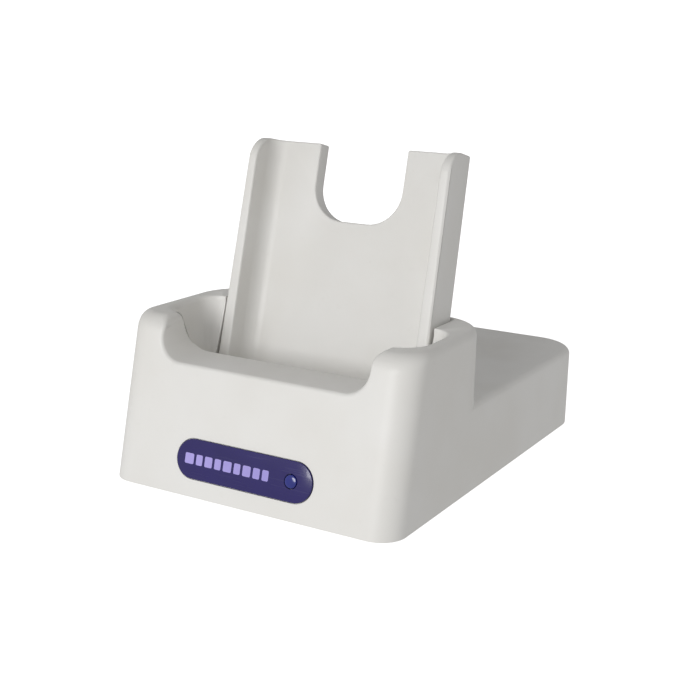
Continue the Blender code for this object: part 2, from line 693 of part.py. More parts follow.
def build_bottom():
    """Bottom cover with its pads and posts, the feet and the ballast."""
    inset = WALL + GAP
    rings = []
    for z in (FOOT_PROUD, COVER_TOP):
        plan = rounded_plan(SIDE_X - inset, face_y(z) + inset, REAR_Y - inset,
                            FRONT_CORNER - inset, DECK_REAR_CORNER - inset)
        rings.append([(x, y, z) for x, y in plan])
    cover = loft("bottom_cover", rings)
    pilot_low = FOOT_PROUD + COVER_PLATE / 2
    for x, y in housing_screw_places():
        join(cover, cylinder("pad", BOSS_R, pilot_low, COVER_TOP + PAD_HEIGHT, at(x, y)))
    for x, y in board_screw_places():
        join(cover, cylinder("post", POST_R, pilot_low, COVER_TOP + BOARD_STAND, at(x, y)))
    for x, y in housing_screw_places():
        cut(cover, cylinder("hole", SCREW_R + GAP, 0, BOARD_BOTTOM, at(x, y)),
            cylinder("sink", SCREW_HEAD_R + GAP, 0, FOOT_PROUD + SCREW_HEAD + GAP, at(x, y)))
    for x, y in board_screw_places() + ballast_screw_places():
        cut(cover, cylinder("pilot", SMALL_SCREW_R + GAP, pilot_low, BOARD_BOTTOM, at(x, y)))
    for x, y in foot_places():
        cut(cover, cylinder("foot_seat", FOOT_R + GAP, 0, FOOT_PROUD + FOOT_SEAT, at(x, y), 20))
    finish(cover, "cover")

    for i, (x, y) in enumerate(foot_places(), 1):
        top = FOOT_PROUD + FOOT_SEAT - GAP
        profile = [(FOOT_R - FOOT_EDGE, 0), (FOOT_R, FOOT_EDGE), (FOOT_R, top)]
        finish(turned(f"rubber_foot_{i}", profile, sides=20), "rubber", at(x, y))

    width, depth, _ = BALLAST_SIZE
    middle = ballast_y()
    ballast = box("ballast_bar", (-width / 2, width / 2), (middle - depth / 2, middle + depth / 2),
                  (COVER_TOP + GAP, BALLAST_TOP))
    for x, y in ballast_screw_places():
        cut(ballast, cylinder("hole", SMALL_SCREW_R + GAP, 0, BLOCK_HEIGHT, at(x, y)))
    finish(ballast, "ballast", smooth=False)


def build_screws():
    """The screws that hold the cover, the backrest, the main board and the ballast."""
    for i, (x, y) in enumerate(housing_screw_places(), 1):
        frame = at(x, y, FOOT_PROUD + SCREW_HEAD)
        screw(f"housing_screw_{i}", SCREW_R, SCREW_LENGTH, SCREW_HEAD_R, SCREW_HEAD, frame)
    for i, (x, y) in enumerate(rest_screw_places(), 1):
        frame = LEAN_FRAME @ at(x, y, SEAT - SLOT_STEP - FLOOR_THICK - GAP)
        screw(f"backrest_screw_{i}", SMALL_SCREW_R, REST_SCREW, SMALL_HEAD_R, SMALL_HEAD, frame)
    down = Matrix.Rotation(pi, 4, "X")
    tip = FOOT_PROUD + COVER_PLATE / 2 + GAP
    for name, places, seat in (("ballast", ballast_screw_places(), BALLAST_TOP + GAP),
                               ("board", board_screw_places(), BOARD_TOP + GAP)):
        for i, (x, y) in enumerate(places, 1):
            frame = at(x, y, seat) @ down
            screw(f"{name}_screw_{i}", SMALL_SCREW_R, seat - tip, SMALL_HEAD_R, SMALL_HEAD, frame)


def build_electronics():
    """Main board and the parts on it."""
    plan = rounded_plan(BOARD_HALF, BOARD_FRONT, BOARD_REAR, 2 * MM, 2 * MM, 2)
    board = prism("main_board", plan, BOARD_BOTTOM, BOARD_TOP)
    for x, y in board_screw_places():
        cut(board, cylinder("hole", SMALL_SCREW_R + GAP, 0, DECK_HEIGHT, at(x, y)))
    finish(board, "board", smooth=False)

    header_y = BOARD_FRONT + HEADER_IN
    socket_front = REAR_Y - PORT_PROUD - max(JACK_SIZE[1], DATA_SIZE[1])
    row_y = (header_y + HEADER_SIZE[1] / 2 + socket_front) / 2
    width, depth, height = HEADER_SIZE
    parts = (("ribbon_header", 0, header_y, width, depth, height, "black"),
             ("led_header", LED_HEADER_X, header_y, LED_HEADER_WIDTH, depth, height, "black"),
             ("power_inductor", -26 * MM, row_y, 12 * MM, 12 * MM, 6 * MM, "ballast"),
             ("charge_controller", -12 * MM, row_y, 10 * MM, 10 * MM, 1.8 * MM, "chip"),
             ("interface_chip", 4 * MM, row_y, 14 * MM, 14 * MM, 2 * MM, "chip"))
    low = PART_BOTTOM
    for name, x, y, width, depth, height, colour in parts:
        solid = box(name, (x - width / 2, x + width / 2), (y - depth / 2, y + depth / 2), (low, low + height))
        finish(solid, colour, smooth=False)
    edge = 0.5 * MM
    for i in range(CAPACITORS):
        radius, height = CAPACITOR_SIZE
        profile = [(radius - edge, 0), (radius, edge), (radius, height - edge), (radius - edge, height)]
        frame = at(CAPACITOR_X + i * (2 * radius + 2 * MM), row_y, low)
        finish(turned(f"smoothing_capacitor_{i + 1}", profile), "black", frame)


def build_sockets():
    """Power and data sockets, which look out through the rear wall."""
    low = PART_BOTTOM
    rear = REAR_Y - PORT_PROUD
    width, depth, height = JACK_SIZE
    jack = box("dc_jack", (JACK_X - width / 2, JACK_X + width / 2), (rear - depth, rear), (low, low + height))
    turn = Matrix.Rotation(-pi / 2, 4, "X")
    mid = at(JACK_X, rear, low + height / 2) @ turn
    cut(jack, cylinder("bore", JACK_BORE_R, -depth + 3 * MM, 5 * MM, mid, 20))
    join(jack, cylinder("pin", JACK_PIN_R, -depth + 2 * MM, -1.5 * MM, mid, 10))
    finish(jack, "black")

    width, depth, height = DATA_SIZE
    port = box("data_port", (DATA_X - width / 2, DATA_X + width / 2), (rear - depth, rear),
               (low, low + height))
    middle = low + height / 2
    well_half = DATA_WELL[0] / 2
    cut(port, box("well", (DATA_X - well_half, DATA_X + well_half), (rear - depth + 3 * MM, REAR_Y + MM),
                  (middle - DATA_WELL[1] / 2, middle + DATA_WELL[1] / 2)))
    join(port, box("tongue", (DATA_X - DATA_TONGUE[0] / 2, DATA_X + DATA_TONGUE[0] / 2),
                   (rear - depth + 2 * MM, rear - 1.5 * MM),
                   (middle - DATA_TONGUE[1] / 2, middle + DATA_TONGUE[1] / 2)))
    finish(port, "steel", smooth=False)


def build_cables():
    """Flat cables from the contact board and from the lamp to the main board."""
    def under_contacts(reach):
        below = SPRING_SEAT - BOARD_THICK - GAP - CABLE_THICK / 2
        point = LEAN_FRAME @ Vector((0, reach, below))
        return point.y, point.z

    header_front = BOARD_FRONT + HEADER_IN - HEADER_SIZE[1] / 2 - GAP
    run = COVER_TOP + CABLE_RISE
    plug = PART_BOTTOM + CABLE_RISE
    foot = under_contacts(-CONTACT_REACH + CARRIER_DEPTH / 2)
    tail = [(BLOCK_REAR_Y, run), ((BLOCK_REAR_Y + BOARD_FRONT) / 2, (run + plug) / 2),
            (BOARD_FRONT - MM, plug), (header_front, plug)]
    start = under_contacts(-CONTACT_REACH - CARRIER_DEPTH / 3)
    strip("contact_ribbon", [start, foot, (foot[0] + 2 * CARRIER_DEPTH, run)] + tail, 0,
          HEADER_SIZE[0] - 2 * MM, CABLE_THICK, "cable")

    back = badge_frame() @ Vector((0, led_board_back() + GAP, 0))
    over = BALLAST_TOP + SMALL_HEAD + CABLE_RISE
    middle = ballast_y()
    wire = [(back.y, back.z), (middle, over), (middle + BALLAST_SIZE[1] / 2, over), (foot[0], run)]
    strip("led_cable", wire + tail, LED_HEADER_X, LED_HEADER_WIDTH - 2 * MM, CABLE_THICK, "cable")


def build_badge():
    """Front badge, its status lens, the lamp behind it and the lamp's board."""
    lift = badge_frame()
    badge = prism("front_badge", pill(BADGE_HALF, BADGE_R), -BADGE_PROUD, BADGE_SEAT - GAP, axis="Y")
    place = at(LENS_X, 0) @ Matrix.Rotation(-pi / 2, 4, "X")
    cut(badge, cylinder("lens_hole", LENS_R + GAP, -5 * MM, 5 * MM, place))
    finish(badge, "badge", lift)

    end = LENS_LENGTH - BADGE_PROUD
    crown = (LENS_R * 0.7, -BADGE_PROUD - LENS_CROWN)
    lens = turned("status_lens", [crown, (LENS_R, -BADGE_PROUD), (LENS_R, end)])
    finish(lens, "lens", lift @ place)
    lamp = turned("status_led", [(LED_R * 0.8, end + GAP), (LED_R, end + 2 * GAP),
                                 (LED_R, end + GAP + LED_LENGTH)])
    finish(lamp, "led", lift @ place)
    width, thick, height = LED_BOARD
    back = led_board_back()
    board = box("led_board", (LENS_X - width / 2, LENS_X + width / 2), (back - thick, back),
                (-height / 2, height / 2))
    finish(board, "board", lift, smooth=False)


def main():
    for old in list(bpy.data.objects):
        bpy.data.objects.remove(old)
    build_housing()
    build_backrest()
    build_contacts()
    build_bottom()
    build_screws()
    build_electronics()
    build_sockets()
    build_cables()
    build_badge()


main()
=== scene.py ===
"""Desktop charging cradle for a handheld organiser: the looks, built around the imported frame."""

import json
from collections import namedtuple
from math import atan2, cos, pi, radians, sin, sqrt, tan

import bmesh
import bpy
from mathutils import Matrix, Vector

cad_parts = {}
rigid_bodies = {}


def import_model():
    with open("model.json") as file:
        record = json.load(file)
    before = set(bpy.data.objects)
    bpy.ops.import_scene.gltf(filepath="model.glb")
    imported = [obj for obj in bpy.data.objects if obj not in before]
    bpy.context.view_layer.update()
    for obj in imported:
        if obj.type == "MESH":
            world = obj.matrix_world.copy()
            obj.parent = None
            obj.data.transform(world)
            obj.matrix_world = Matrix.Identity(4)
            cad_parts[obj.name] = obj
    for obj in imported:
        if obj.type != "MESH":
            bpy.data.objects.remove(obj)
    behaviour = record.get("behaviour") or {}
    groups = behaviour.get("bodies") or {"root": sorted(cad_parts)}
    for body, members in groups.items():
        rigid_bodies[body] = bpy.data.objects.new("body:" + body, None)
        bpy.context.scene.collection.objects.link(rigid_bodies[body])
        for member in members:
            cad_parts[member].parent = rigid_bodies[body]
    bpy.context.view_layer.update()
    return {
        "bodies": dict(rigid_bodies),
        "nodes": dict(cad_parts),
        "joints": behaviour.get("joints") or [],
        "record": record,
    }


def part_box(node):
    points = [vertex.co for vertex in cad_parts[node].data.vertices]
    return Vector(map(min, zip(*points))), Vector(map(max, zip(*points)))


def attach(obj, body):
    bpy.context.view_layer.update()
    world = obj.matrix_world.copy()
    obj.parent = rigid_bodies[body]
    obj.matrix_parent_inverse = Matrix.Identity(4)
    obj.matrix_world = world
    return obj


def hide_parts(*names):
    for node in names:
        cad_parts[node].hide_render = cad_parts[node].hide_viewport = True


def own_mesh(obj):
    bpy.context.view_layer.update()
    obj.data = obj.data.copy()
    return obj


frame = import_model()
nodes = frame["nodes"]

# --- Sizes, in millimetres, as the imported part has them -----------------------
METRES = 0.001
SIDE_X = 60
FRONT_Y = -88
REAR_Y = 88
FOOT_PROUD = 1
BLOCK_HEIGHT = 62
BLOCK_REAR_Y = -10.5
DECK_HEIGHT = 34.2
FACE_SETBACK = 13.4
WALL = 2.4
GAP = 0.3
FRONT_CORNER = 10
BLOCK_REAR_CORNER = 21
DECK_REAR_CORNER = 19
RIM_ROUNDS = (6, 3, 1.5)
DECK_ROUNDS = (3, 3, 3)

LEAN = radians(13.5)
REST_REAR_RIM = 3
REST_FOOT_Y = BLOCK_REAR_Y - REST_REAR_RIM - BLOCK_HEIGHT * tan(LEAN)
SEAT = 15
SLOT_STEP = 1
SEAT_PAD = 1
TOE_RELIEF = 0.6
DEVICE_THICK = 22
REST_LENGTH = 124
REST_HALF = (45.4, 43.2)
CHANNEL_HALF = (40, 39.6)
REST_REAR_ROUND = 4
CHANNEL_FILLET = 6
WING_REACH = 19.7
WING_EDGE = 1.2
PLATE_THICK = 6.6
PLATE_SKIN = 2.2
WING_TOP_ROUND = 10
NOTCH_HALF = 19
NOTCH_BOTTOM = 94.5
NOTCH_CORNER = 13.5

POCKET_RIM_SIDE = 7
POCKET_HALF_RIM = SIDE_X - POCKET_RIM_SIDE
POCKET_HALF_FLOOR = 42
POCKET_FRONT_RIM = 11.5
POCKET_CORNER_RIM = 12
POCKET_CORNER_FLOOR = 5
POCKET_LIP = 2.5
POCKET_LINER = 2.2
FLOOR_THICK = 3.5
RECESS_HALF = 43.2
RECESS_SILL = 47
RECESS_CORNER = 8.6
RECESS_FLARE = 4

BADGE_X = -1
BADGE_HALF = 28.6
BADGE_R = 7.2
BADGE_HEIGHT = 14.6
BADGE_SEAT = 1
BADGE_PROUD = 0.5
LENS_X = 20
LENS_R = 2.4
LENS_LENGTH = 5.2
PRINT_LEFT = -24.8
PRINT_WIDTHS = (3.8, 2.7, 3.2, 2.7, 3.5, 2.7, 3.3, 2.8, 2.6)
PRINT_GAP = 1.05
PRINT_HALF = 1.9
PRINT_PROUD = 0.12
PRINT_SUNK = 0.05
PRINT_CORNER = 0.5
LAMP_R = 1.9
LAMP_LENGTH = 2.4
CORE_MARGIN = 2.6
CORE_BOTTOM = 68
CORE_COVER = 1.8

CONTACT_REACH = 17.5            # contact row, in front of the plate's rear
CONTACT_ROW = [3.6 * i - 9 for i in range(6)]
CARRIER_HALF = 12
CARRIER_DEPTH = 9
CARRIER_PROUD = 1.2
FLANGE_HALF = 17.5
FLANGE_THICK = 2.4
COLLAR_R = 1.4
COLLAR_LENGTH = 1
COLLAR_LOW = SEAT - 1.6
SHAFT_R = 0.8
CONTACT_TOP = SEAT + 3.2
SPRING_SEAT = SEAT - 7.5
SPRING_WIRE = 0.36
SPRING_TURNS = 4.5

COVER_TOP = 3.5
PAD_TOP = 5.1
POST_TOP = 8
BOARD_TOP = 9.9
PART_BOTTOM = BOARD_TOP + GAP
BALLAST_TOP = 9.8
BOSS_R = 3.8
POST_R = 3
FRONT_BOSS_TOP = 26
PILOT_LOW = 2.25                # where the blind holes in the bottom cover start
PILOT_TOP = 16.4
FOOT_R = 5.6
FOOT_TOP = 1.9
SCREW = {"radius": 1.5, "head": 2.8, "rise": 1.9}
SMALL_SCREW = {"radius": 1.1, "head": 2.1, "rise": 1.4}
CONTACT_SCREW_X = 14.75
REST_SCREW_X = 42.7
HOUSING_SCREWS = [(x, y) for y in (FRONT_Y + 24, REAR_Y - 22) for x in (7.2 - SIDE_X, SIDE_X - 7.2)]

SOCKET_REAR = REAR_Y - 0.4
PORT_GAP = 0.4
JACK = (20, 9, 11)              # place in X, width and height of each socket
DATA = (-8, 12, 10.8)
JACK_DEPTH = 14
JACK_BORE_R = 2.9
JACK_PIN_R = 1
DATA_DEPTH = 16
DATA_WELL = (4.4, 4)            # half width and half height
DATA_TONGUE = (2.8, 1.5)

FACE_LEAN = atan2(FACE_SETBACK, BLOCK_HEIGHT - FOOT_PROUD)
ALONG_Y = Matrix.Rotation(-pi / 2, 4, "X")
LEAN_FRAME = Matrix.Translation((0, REST_FOOT_Y, 0)) @ Matrix.Rotation(-LEAN, 4, "X")
FACE_FRAME = Matrix.Translation((0, FRONT_Y, FOOT_PROUD)) @ Matrix.Rotation(-FACE_LEAN, 4, "X")
BADGE_FRAME = FACE_FRAME @ Matrix.Translation((BADGE_X, 0, (BADGE_HEIGHT - FOOT_PROUD) / cos(FACE_LEAN)))


def at(x, y, z=0.0):
    return Matrix.Translation((x, y, z))


# --- Finishes -------------------------------------------------------------------
class Wire:
    """A number that varies over a surface; sums on it add Math nodes."""

    def __init__(self, paint, socket):
        self.paint = paint
        self.socket = socket

    def maths(self, operation, *values):
        made = self.paint.node("ShaderNodeMath", {"operation": operation}, dict(enumerate(values)))
        return Wire(self.paint, made.outputs[0])

    def __add__(self, other):
        return self.maths("ADD", self, other)

    def __sub__(self, other):
        return self.maths("SUBTRACT", self, other)

    def __rsub__(self, other):
        return self.maths("SUBTRACT", other, self)

    def __mul__(self, other):
        return self.maths("MULTIPLY", self, other)

    __radd__ = __add__
    __rmul__ = __mul__

    def ramp(self, low, high):
        """0 below low, 1 above high and smooth between."""
        made = self.paint.node("ShaderNodeMapRange", {"interpolation_type": "SMOOTHSTEP"},
                               {0: self, 1: low, 2: high})
        return Wire(self.paint, made.outputs[0])


class Paint:
    """One finish: a Principled shader and the nodes that vary it."""

    def __init__(self, name, **fixed):
        self.material = bpy.data.materials.new(name)
        self.material.use_nodes = True
        self.tree = self.material.node_tree
        self.shader = self.tree.nodes["Principled BSDF"]
        self.place = Wire(self, self.node("ShaderNodeTexCoord").outputs["Object"])
        for socket, value in fixed.items():
            self.shader.inputs[socket.replace("_", " ")].default_value = value

    def node(self, kind, settings=None, inputs=None):
        made = self.tree.nodes.new(kind)
        for name, value in (settings or {}).items():
            setattr(made, name, value)
        for socket, value in (inputs or {}).items():
            if isinstance(value, Wire):
                self.tree.links.new(value.socket, made.inputs[socket])
            else:
                made.inputs[socket].default_value = value
        return made

    def stretched(self, x, y, z):
        made = self.node("ShaderNodeMapping", {}, {"Vector": self.place, "Scale": (x, y, z)})
        return Wire(self, made.outputs[0])

    def noise(self, size, detail=2.0, place=None, rough=0.5):
        """Soft noise whose features are about size millimetres across."""
        made = self.node("ShaderNodeTexNoise", {},
                         {"Vector": place or self.place, "Scale": 1 / (size * METRES),
                          "Detail": detail, "Roughness": rough})
        return Wire(self, made.outputs["Fac"])

    def cells(self, size, feature="F1", place=None):
        made = self.node("ShaderNodeTexVoronoi", {"feature": feature},
                         {"Vector": place or self.place, "Scale": 1 / (size * METRES)})
        return Wire(self, made.outputs["Distance"])

    def edges(self, width):
        """1 on edges that hands and cases rub, 0 on open surfaces."""
        round_edge = self.node("ShaderNodeBevel", {"samples": 4}, {"Radius": width * METRES})
        flat = self.node("ShaderNodeNewGeometry")
        made = self.node("ShaderNodeVectorMath", {"operation": "DOT_PRODUCT"},
                         {0: Wire(self, round_edge.outputs[0]), 1: Wire(self, flat.outputs["Normal"])})
        return (1 - Wire(self, made.outputs["Value"])).ramp(0.01, 0.12)

    def upward(self):
        flat = self.node("ShaderNodeNewGeometry")
        made = self.node("ShaderNodeSeparateXYZ", {}, {0: Wire(self, flat.outputs["Normal"])})
        return Wire(self, made.outputs[2]).ramp(0.3, 0.95)

    def blend(self, amount, first, second):
        made = self.node("ShaderNodeMix", {"data_type": "RGBA"}, {0: amount, 6: first, 7: second})
        return Wire(self, made.outputs[2])

    def into(self, socket, value):
        self.tree.links.new(value.socket, self.shader.inputs[socket])

    def bump(self, height, depth):
        """Relief whose full height is depth millimetres."""
        made = self.node("ShaderNodeBump", {}, {"Height": height, "Distance": depth * METRES})
        self.into("Normal", Wire(self, made.outputs[0]))


def colour(red, green, blue):
    return (red, green, blue, 1)


def moulded(name, base, aged, rough, grain=0.35, depth=0.02, wear=0.06, **fixed):
    """Spark-textured moulded plastic with faint flow tone, dust and handled edges."""
    paint = Paint(name, **fixed)
    tone = paint.noise(38, 3)
    specks = paint.noise(3.5, 4).ramp(0.62, 0.8)
    dust = paint.upward() * paint.noise(9, 4).ramp(0.35, 0.8)
    edge = paint.edges(0.8)
    worn = paint.blend(tone.ramp(0.3, 0.75), base, aged)
    dull = tuple(c * 0.93 for c in aged[:3]) + (1,)
    bright = tuple(min(c * 1.06, 1) for c in base[:3]) + (1,)
    worn = paint.blend(specks * 0.25, worn, dull)
    worn = paint.blend(edge * 0.5, worn, bright)
    paint.into("Base Color", worn)
    hairs = paint.noise(1.2, 2, paint.stretched(1, 0.07, 0.5)).ramp(0.66, 0.74)
    paint.into("Roughness", rough + tone * 0.08 + dust * 0.12 - edge * wear - hairs * 0.07)
    fine = paint.noise(grain, 2, rough=0.6)
    coarse = paint.cells(grain * 2.2, "SMOOTH_F1")
    paint.bump(fine * 0.6 + coarse * 0.5 + tone * 0.5, depth)
    return paint.material


def metal(name, base, rough, grain=0.25, stain=0.08, depth=0.004, stretch=(1, 1, 0.05)):
    """Plated or drawn metal: lines along the stretch, faint stains."""
    paint = Paint(name, Metallic=1.0)
    lines = paint.noise(grain, 2, paint.stretched(*stretch))
    stains = paint.noise(4, 4).ramp(0.45, 0.8)
    dark = tuple(c * (1 - 3 * stain) for c in base[:3]) + (1,)
    paint.into("Base Color", paint.blend(stains * 0.7, base, dark))
    paint.into("Roughness", rough + lines * 0.12 + stains * stain)
    paint.bump(lines, depth)
    return paint.material


def circuit(name):
    """Green solder mask over copper tracks, with tinned vias and a faint weave."""
    paint = Paint(name, Coat_Weight=0.35, Coat_Roughness=0.15)
    across = paint.node("ShaderNodeTexBrick", {"offset": 0.35, "squash": 0.7},
                        {"Vector": paint.place, "Scale": 1 / (7 * METRES), "Mortar Size": 0.03,
                         "Mortar Smooth": 0.2, "Bias": -0.2})
    tracks = Wire(paint, across.outputs["Fac"])
    vias = 1 - paint.cells(2.6).ramp(0.12, 0.16)
    weave = paint.noise(0.6, 2)
    mask = colour(0.012, 0.12, 0.05)
    over_copper = colour(0.03, 0.22, 0.09)
    tin = colour(0.55, 0.55, 0.5)
    face = paint.blend(tracks, mask, over_copper)
    face = paint.blend(vias * paint.noise(11, 1).ramp(0.5, 0.52), face, tin)
    paint.into("Base Color", face)
    paint.into("Roughness", 0.32 + weave * 0.15)
    paint.bump(tracks + weave * 0.3, 0.035)
    return paint.material


def glossy(name, base, deep, rough, flow=14, **fixed):
    """Clear-coated plastic with pigment flow and fine wiping marks."""
    paint = Paint(name, **fixed)
    tone = paint.noise(flow, 3)
    wipes = paint.noise(0.7, 3, paint.stretched(0.05, 1, 1)).ramp(0.5, 0.75)
    paint.into("Base Color", paint.blend(tone, deep, base))
    paint.into("Roughness", rough + wipes * 0.1 + tone * 0.05)
    paint.bump(tone * 0.6 + wipes * 0.2 + paint.noise(0.3, 2) * 0.3, 0.012)
    return paint.material


finishes = {
    "shell": moulded("shell_plastic", colour(0.80, 0.79, 0.765), colour(0.765, 0.75, 0.715), 0.40,
                     Specular_IOR_Level=0.45),
    "cover": moulded("cover_plastic", colour(0.75, 0.74, 0.715), colour(0.70, 0.69, 0.66), 0.48, grain=0.5,
                     depth=0.03),
    "badge": glossy("badge_enamel", colour(0.014, 0.006, 0.135), colour(0.008, 0.003, 0.085), 0.2,
                    Coat_Weight=0.5, Coat_Roughness=0.08),
    "lens": glossy("lens_acrylic", colour(0.012, 0.02, 0.24), colour(0.006, 0.012, 0.16), 0.16, flow=3,
                   Coat_Weight=0.6, Coat_Roughness=0.05),
    "print": moulded("badge_print", colour(0.42, 0.36, 0.78), colour(0.34, 0.29, 0.68), 0.35, grain=0.12,
                     depth=0.01),
    "led": glossy("lamp_epoxy", colour(0.75, 0.79, 0.9), colour(0.62, 0.68, 0.85), 0.12, flow=2),
    "board": circuit("board_laminate"),
    "chip": moulded("chip_epoxy", colour(0.022, 0.022, 0.024), colour(0.03, 0.03, 0.031), 0.5, grain=0.12,
                    depth=0.01),
    "black": moulded("black_nylon", colour(0.028, 0.028, 0.03), colour(0.04, 0.039, 0.038), 0.42, grain=0.22,
                     depth=0.015),
    "steel": metal("plated_steel", colour(0.62, 0.63, 0.64), 0.28),
    "gold": metal("gold_plating", colour(0.86, 0.62, 0.25), 0.2, grain=0.15),
    "ballast": metal("rolled_steel", colour(0.36, 0.36, 0.37), 0.5, grain=0.8, stain=0.15, depth=0.02,
                     stretch=(0.04, 1, 1)),
    "ferrite": moulded("ferrite_core", colour(0.05, 0.048, 0.047), colour(0.075, 0.07, 0.066), 0.6, grain=0.3,
                       depth=0.03),
    "rubber": moulded("foot_rubber", colour(0.035, 0.035, 0.036), colour(0.055, 0.053, 0.05), 0.75, grain=0.3,
                      depth=0.03),
    "cable": moulded("flat_cable", colour(0.52, 0.52, 0.54), colour(0.6, 0.59, 0.58), 0.4, grain=0.6,
                     depth=0.01),
}


# --- Shaping ----------------------------------------------------------------------
Plan = namedtuple("Plan", "half front rear front_r rear_r")
FINE = 12                       # steps in a rounded corner
WELD = 0.002                    # gap that a Boolean's hairlines are welded over
CLEAR = 5                       # how far a cutter runs past what it cuts


def face_y(z):
    """Y of the leaning front face at a height."""
    return FRONT_Y + (z - FOOT_PROUD) * tan(FACE_LEAN)


def rest_plane_y(z, reach):
    """Y of a plane in front of the backrest's rear by reach, at a height."""
    return REST_FOOT_Y + z * tan(LEAN) - reach / cos(LEAN)


def round_inset(z, top, radius):
    """How far a rounded top edge has drawn in at height z."""
    above = z - (top - radius)
    return radius - sqrt(max(radius ** 2 - above ** 2, 0)) if above > 0 else 0


def flat_plan(plan, steps=FINE):
    """Flat face with round corners, its front edge at the smaller y."""
    bm = bmesh.new()
    bmesh.ops.create_grid(bm, x_segments=1, y_segments=1, size=1)
    front = [vert for vert in bm.verts if vert.co.y < 0]
    rear = [vert for vert in bm.verts if vert.co.y > 0]
    for vert in bm.verts:
        vert.co.x *= plan.half
        vert.co.y = plan.front if vert in front else plan.rear
    for corner, radius in ((front, plan.front_r), (rear, plan.rear_r)):
        bmesh.ops.bevel(bm, geom=corner, offset=radius, offset_type="OFFSET", segments=steps,
                        profile=0.5, affect="VERTICES", material=-1)
    return bm


def reshape(verts, old, new):
    """Carry a round-cornered ring from one plan to another, each corner about its centre."""
    middle = (old.front + old.rear) / 2
    for vert in verts:
        side = 1 if vert.co.x > 0 else -1
        if vert.co.y < middle:
            was, now = old.front_r, new.front_r
            start, goal = (old.half - was, old.front + was), (new.half - now, new.front + now)
        else:
            was, now = old.rear_r, new.rear_r
            start, goal = (old.half - was, old.rear - was), (new.half - now, new.rear - now)
        vert.co.x = side * goal[0] + (vert.co.x - side * start[0]) * now / was
        vert.co.y = goal[1] + (vert.co.y - start[1]) * now / was


def rising(name, levels):
    """Closed solid that rises through (plan, height) levels; a height may depend on x and y."""
    plan, height = levels[0]
    bm = flat_plan(plan)
    face = next(iter(bm.faces))

    def lift(verts, height):
        for vert in verts:
            vert.co.z = height(vert.co.x, vert.co.y) if callable(height) else height

    lift(face.verts, height)
    for above, height in levels[1:]:
        below = face
        made = bmesh.ops.extrude_face_region(bm, geom=[below])["geom"]
        face = [item for item in made if isinstance(item, bmesh.types.BMFace)][0]
        if above is not levels[1][0]:
            bmesh.ops.delete(bm, geom=[below], context="FACES_ONLY")
        reshape(face.verts, plan, above)
        lift(face.verts, height)
        plan = above
    return solid(name, bm)


def solid(name, bm, frame=None):
    bmesh.ops.recalc_face_normals(bm, faces=bm.faces)
    mesh = bpy.data.meshes.new(name)
    bm.to_mesh(mesh)
    bm.free()
    made = bpy.data.objects.new(name, mesh)
    bpy.context.scene.collection.objects.link(made)
    if frame is not None:
        mesh.transform(frame)
    return made


def brick(name, x, y, z, frame=None):
    """Box between (low, high) pairs, used as a cutter or as a blank."""
    bm = bmesh.new()
    bmesh.ops.create_cube(bm, size=1)
    spans = (x, y, z)
    size = [high - low for low, high in spans]
    middle = [(high + low) / 2 for low, high in spans]
    bmesh.ops.scale(bm, verts=bm.verts, vec=size)
    bmesh.ops.translate(bm, verts=bm.verts, vec=middle)
    return solid(name, bm, frame)


def rod(name, radius, low, high, frame=None, sides=32):
    bm = bmesh.new()
    bmesh.ops.create_cone(bm, cap_ends=True, segments=sides, radius1=radius, radius2=radius,
                          depth=high - low)
    bmesh.ops.translate(bm, verts=bm.verts, vec=(0, 0, (low + high) / 2))
    return solid(name, bm, frame)


def turned(name, profile, frame=None, sides=32):
    """Solid spun about Z from (radius, z) points, whose ends close on the axis."""
    bm = bmesh.new()
    points = [(0, profile[0][1])] + list(profile) + [(0, profile[-1][1])]
    verts = [bm.verts.new((r, 0, z)) for r, z in points]
    edges = [bm.edges.new(pair) for pair in zip(verts, verts[1:])]
    bmesh.ops.spin(bm, geom=verts + edges, cent=(0, 0, 0), axis=(0, 0, 1), angle=2 * pi, steps=sides,
                   use_merge=True)
    bmesh.ops.remove_doubles(bm, verts=bm.verts, dist=0.001)
    return solid(name, bm, frame)


def notch_outline(half, bottom, top, corner, reach, flare=0):
    """U-shaped prism along Y that is open upward; flare rounds its mouth outward."""
    bm = bmesh.new()
    points = [(-half, bottom), (half, bottom)]
    if flare:
        points += [(half, top), (half + flare + 3, top + 0.5), (half + flare + 3, top + 9)]
        points += [(-x, z) for x, z in reversed(points[2:])]
    else:
        points += [(half, top), (-half, top)]
    verts = [bm.verts.new((x, reach[0], z)) for x, z in points]
    bm.faces.new(verts)
    bm.verts.ensure_lookup_table()
    low = [vert for vert in bm.verts if vert.co.z < bottom + 0.1]
    mouth = [vert for vert in bm.verts if flare and abs(vert.co.z - top) < 0.1]
    for group, radius in ((low, corner), (mouth, flare)):
        if group:
            bmesh.ops.bevel(bm, geom=group, offset=radius, offset_type="OFFSET", segments=FINE, profile=0.5,
                            affect="VERTICES", material=-1)
    made = bmesh.ops.extrude_face_region(bm, geom=bm.faces[:])["geom"]
    bmesh.ops.translate(bm, verts=[v for v in made if isinstance(v, bmesh.types.BMVert)],
                        vec=(0, reach[1] - reach[0], 0))
    return solid("notch", bm)


def combine(target, other, operation):
    """Apply one exact Boolean, drop the second solid and weld hairline gaps."""
    modifier = target.modifiers.new("combine", "BOOLEAN")
    modifier.operation = operation
    modifier.object = other
    bpy.context.view_layer.update()
    mesh = bpy.data.meshes.new_from_object(target.evaluated_get(bpy.context.evaluated_depsgraph_get()))
    target.modifiers.clear()
    target.data = mesh
    bpy.data.objects.remove(other)
    bm = bmesh.new()
    bm.from_mesh(mesh)
    bmesh.ops.remove_doubles(bm, verts=bm.verts, dist=WELD)
    bmesh.ops.dissolve_degenerate(bm, edges=bm.edges, dist=WELD)
    bm.to_mesh(mesh)
    bm.free()


def cut(target, *cutters):
    for cutter in cutters:
        combine(target, cutter, "DIFFERENCE")


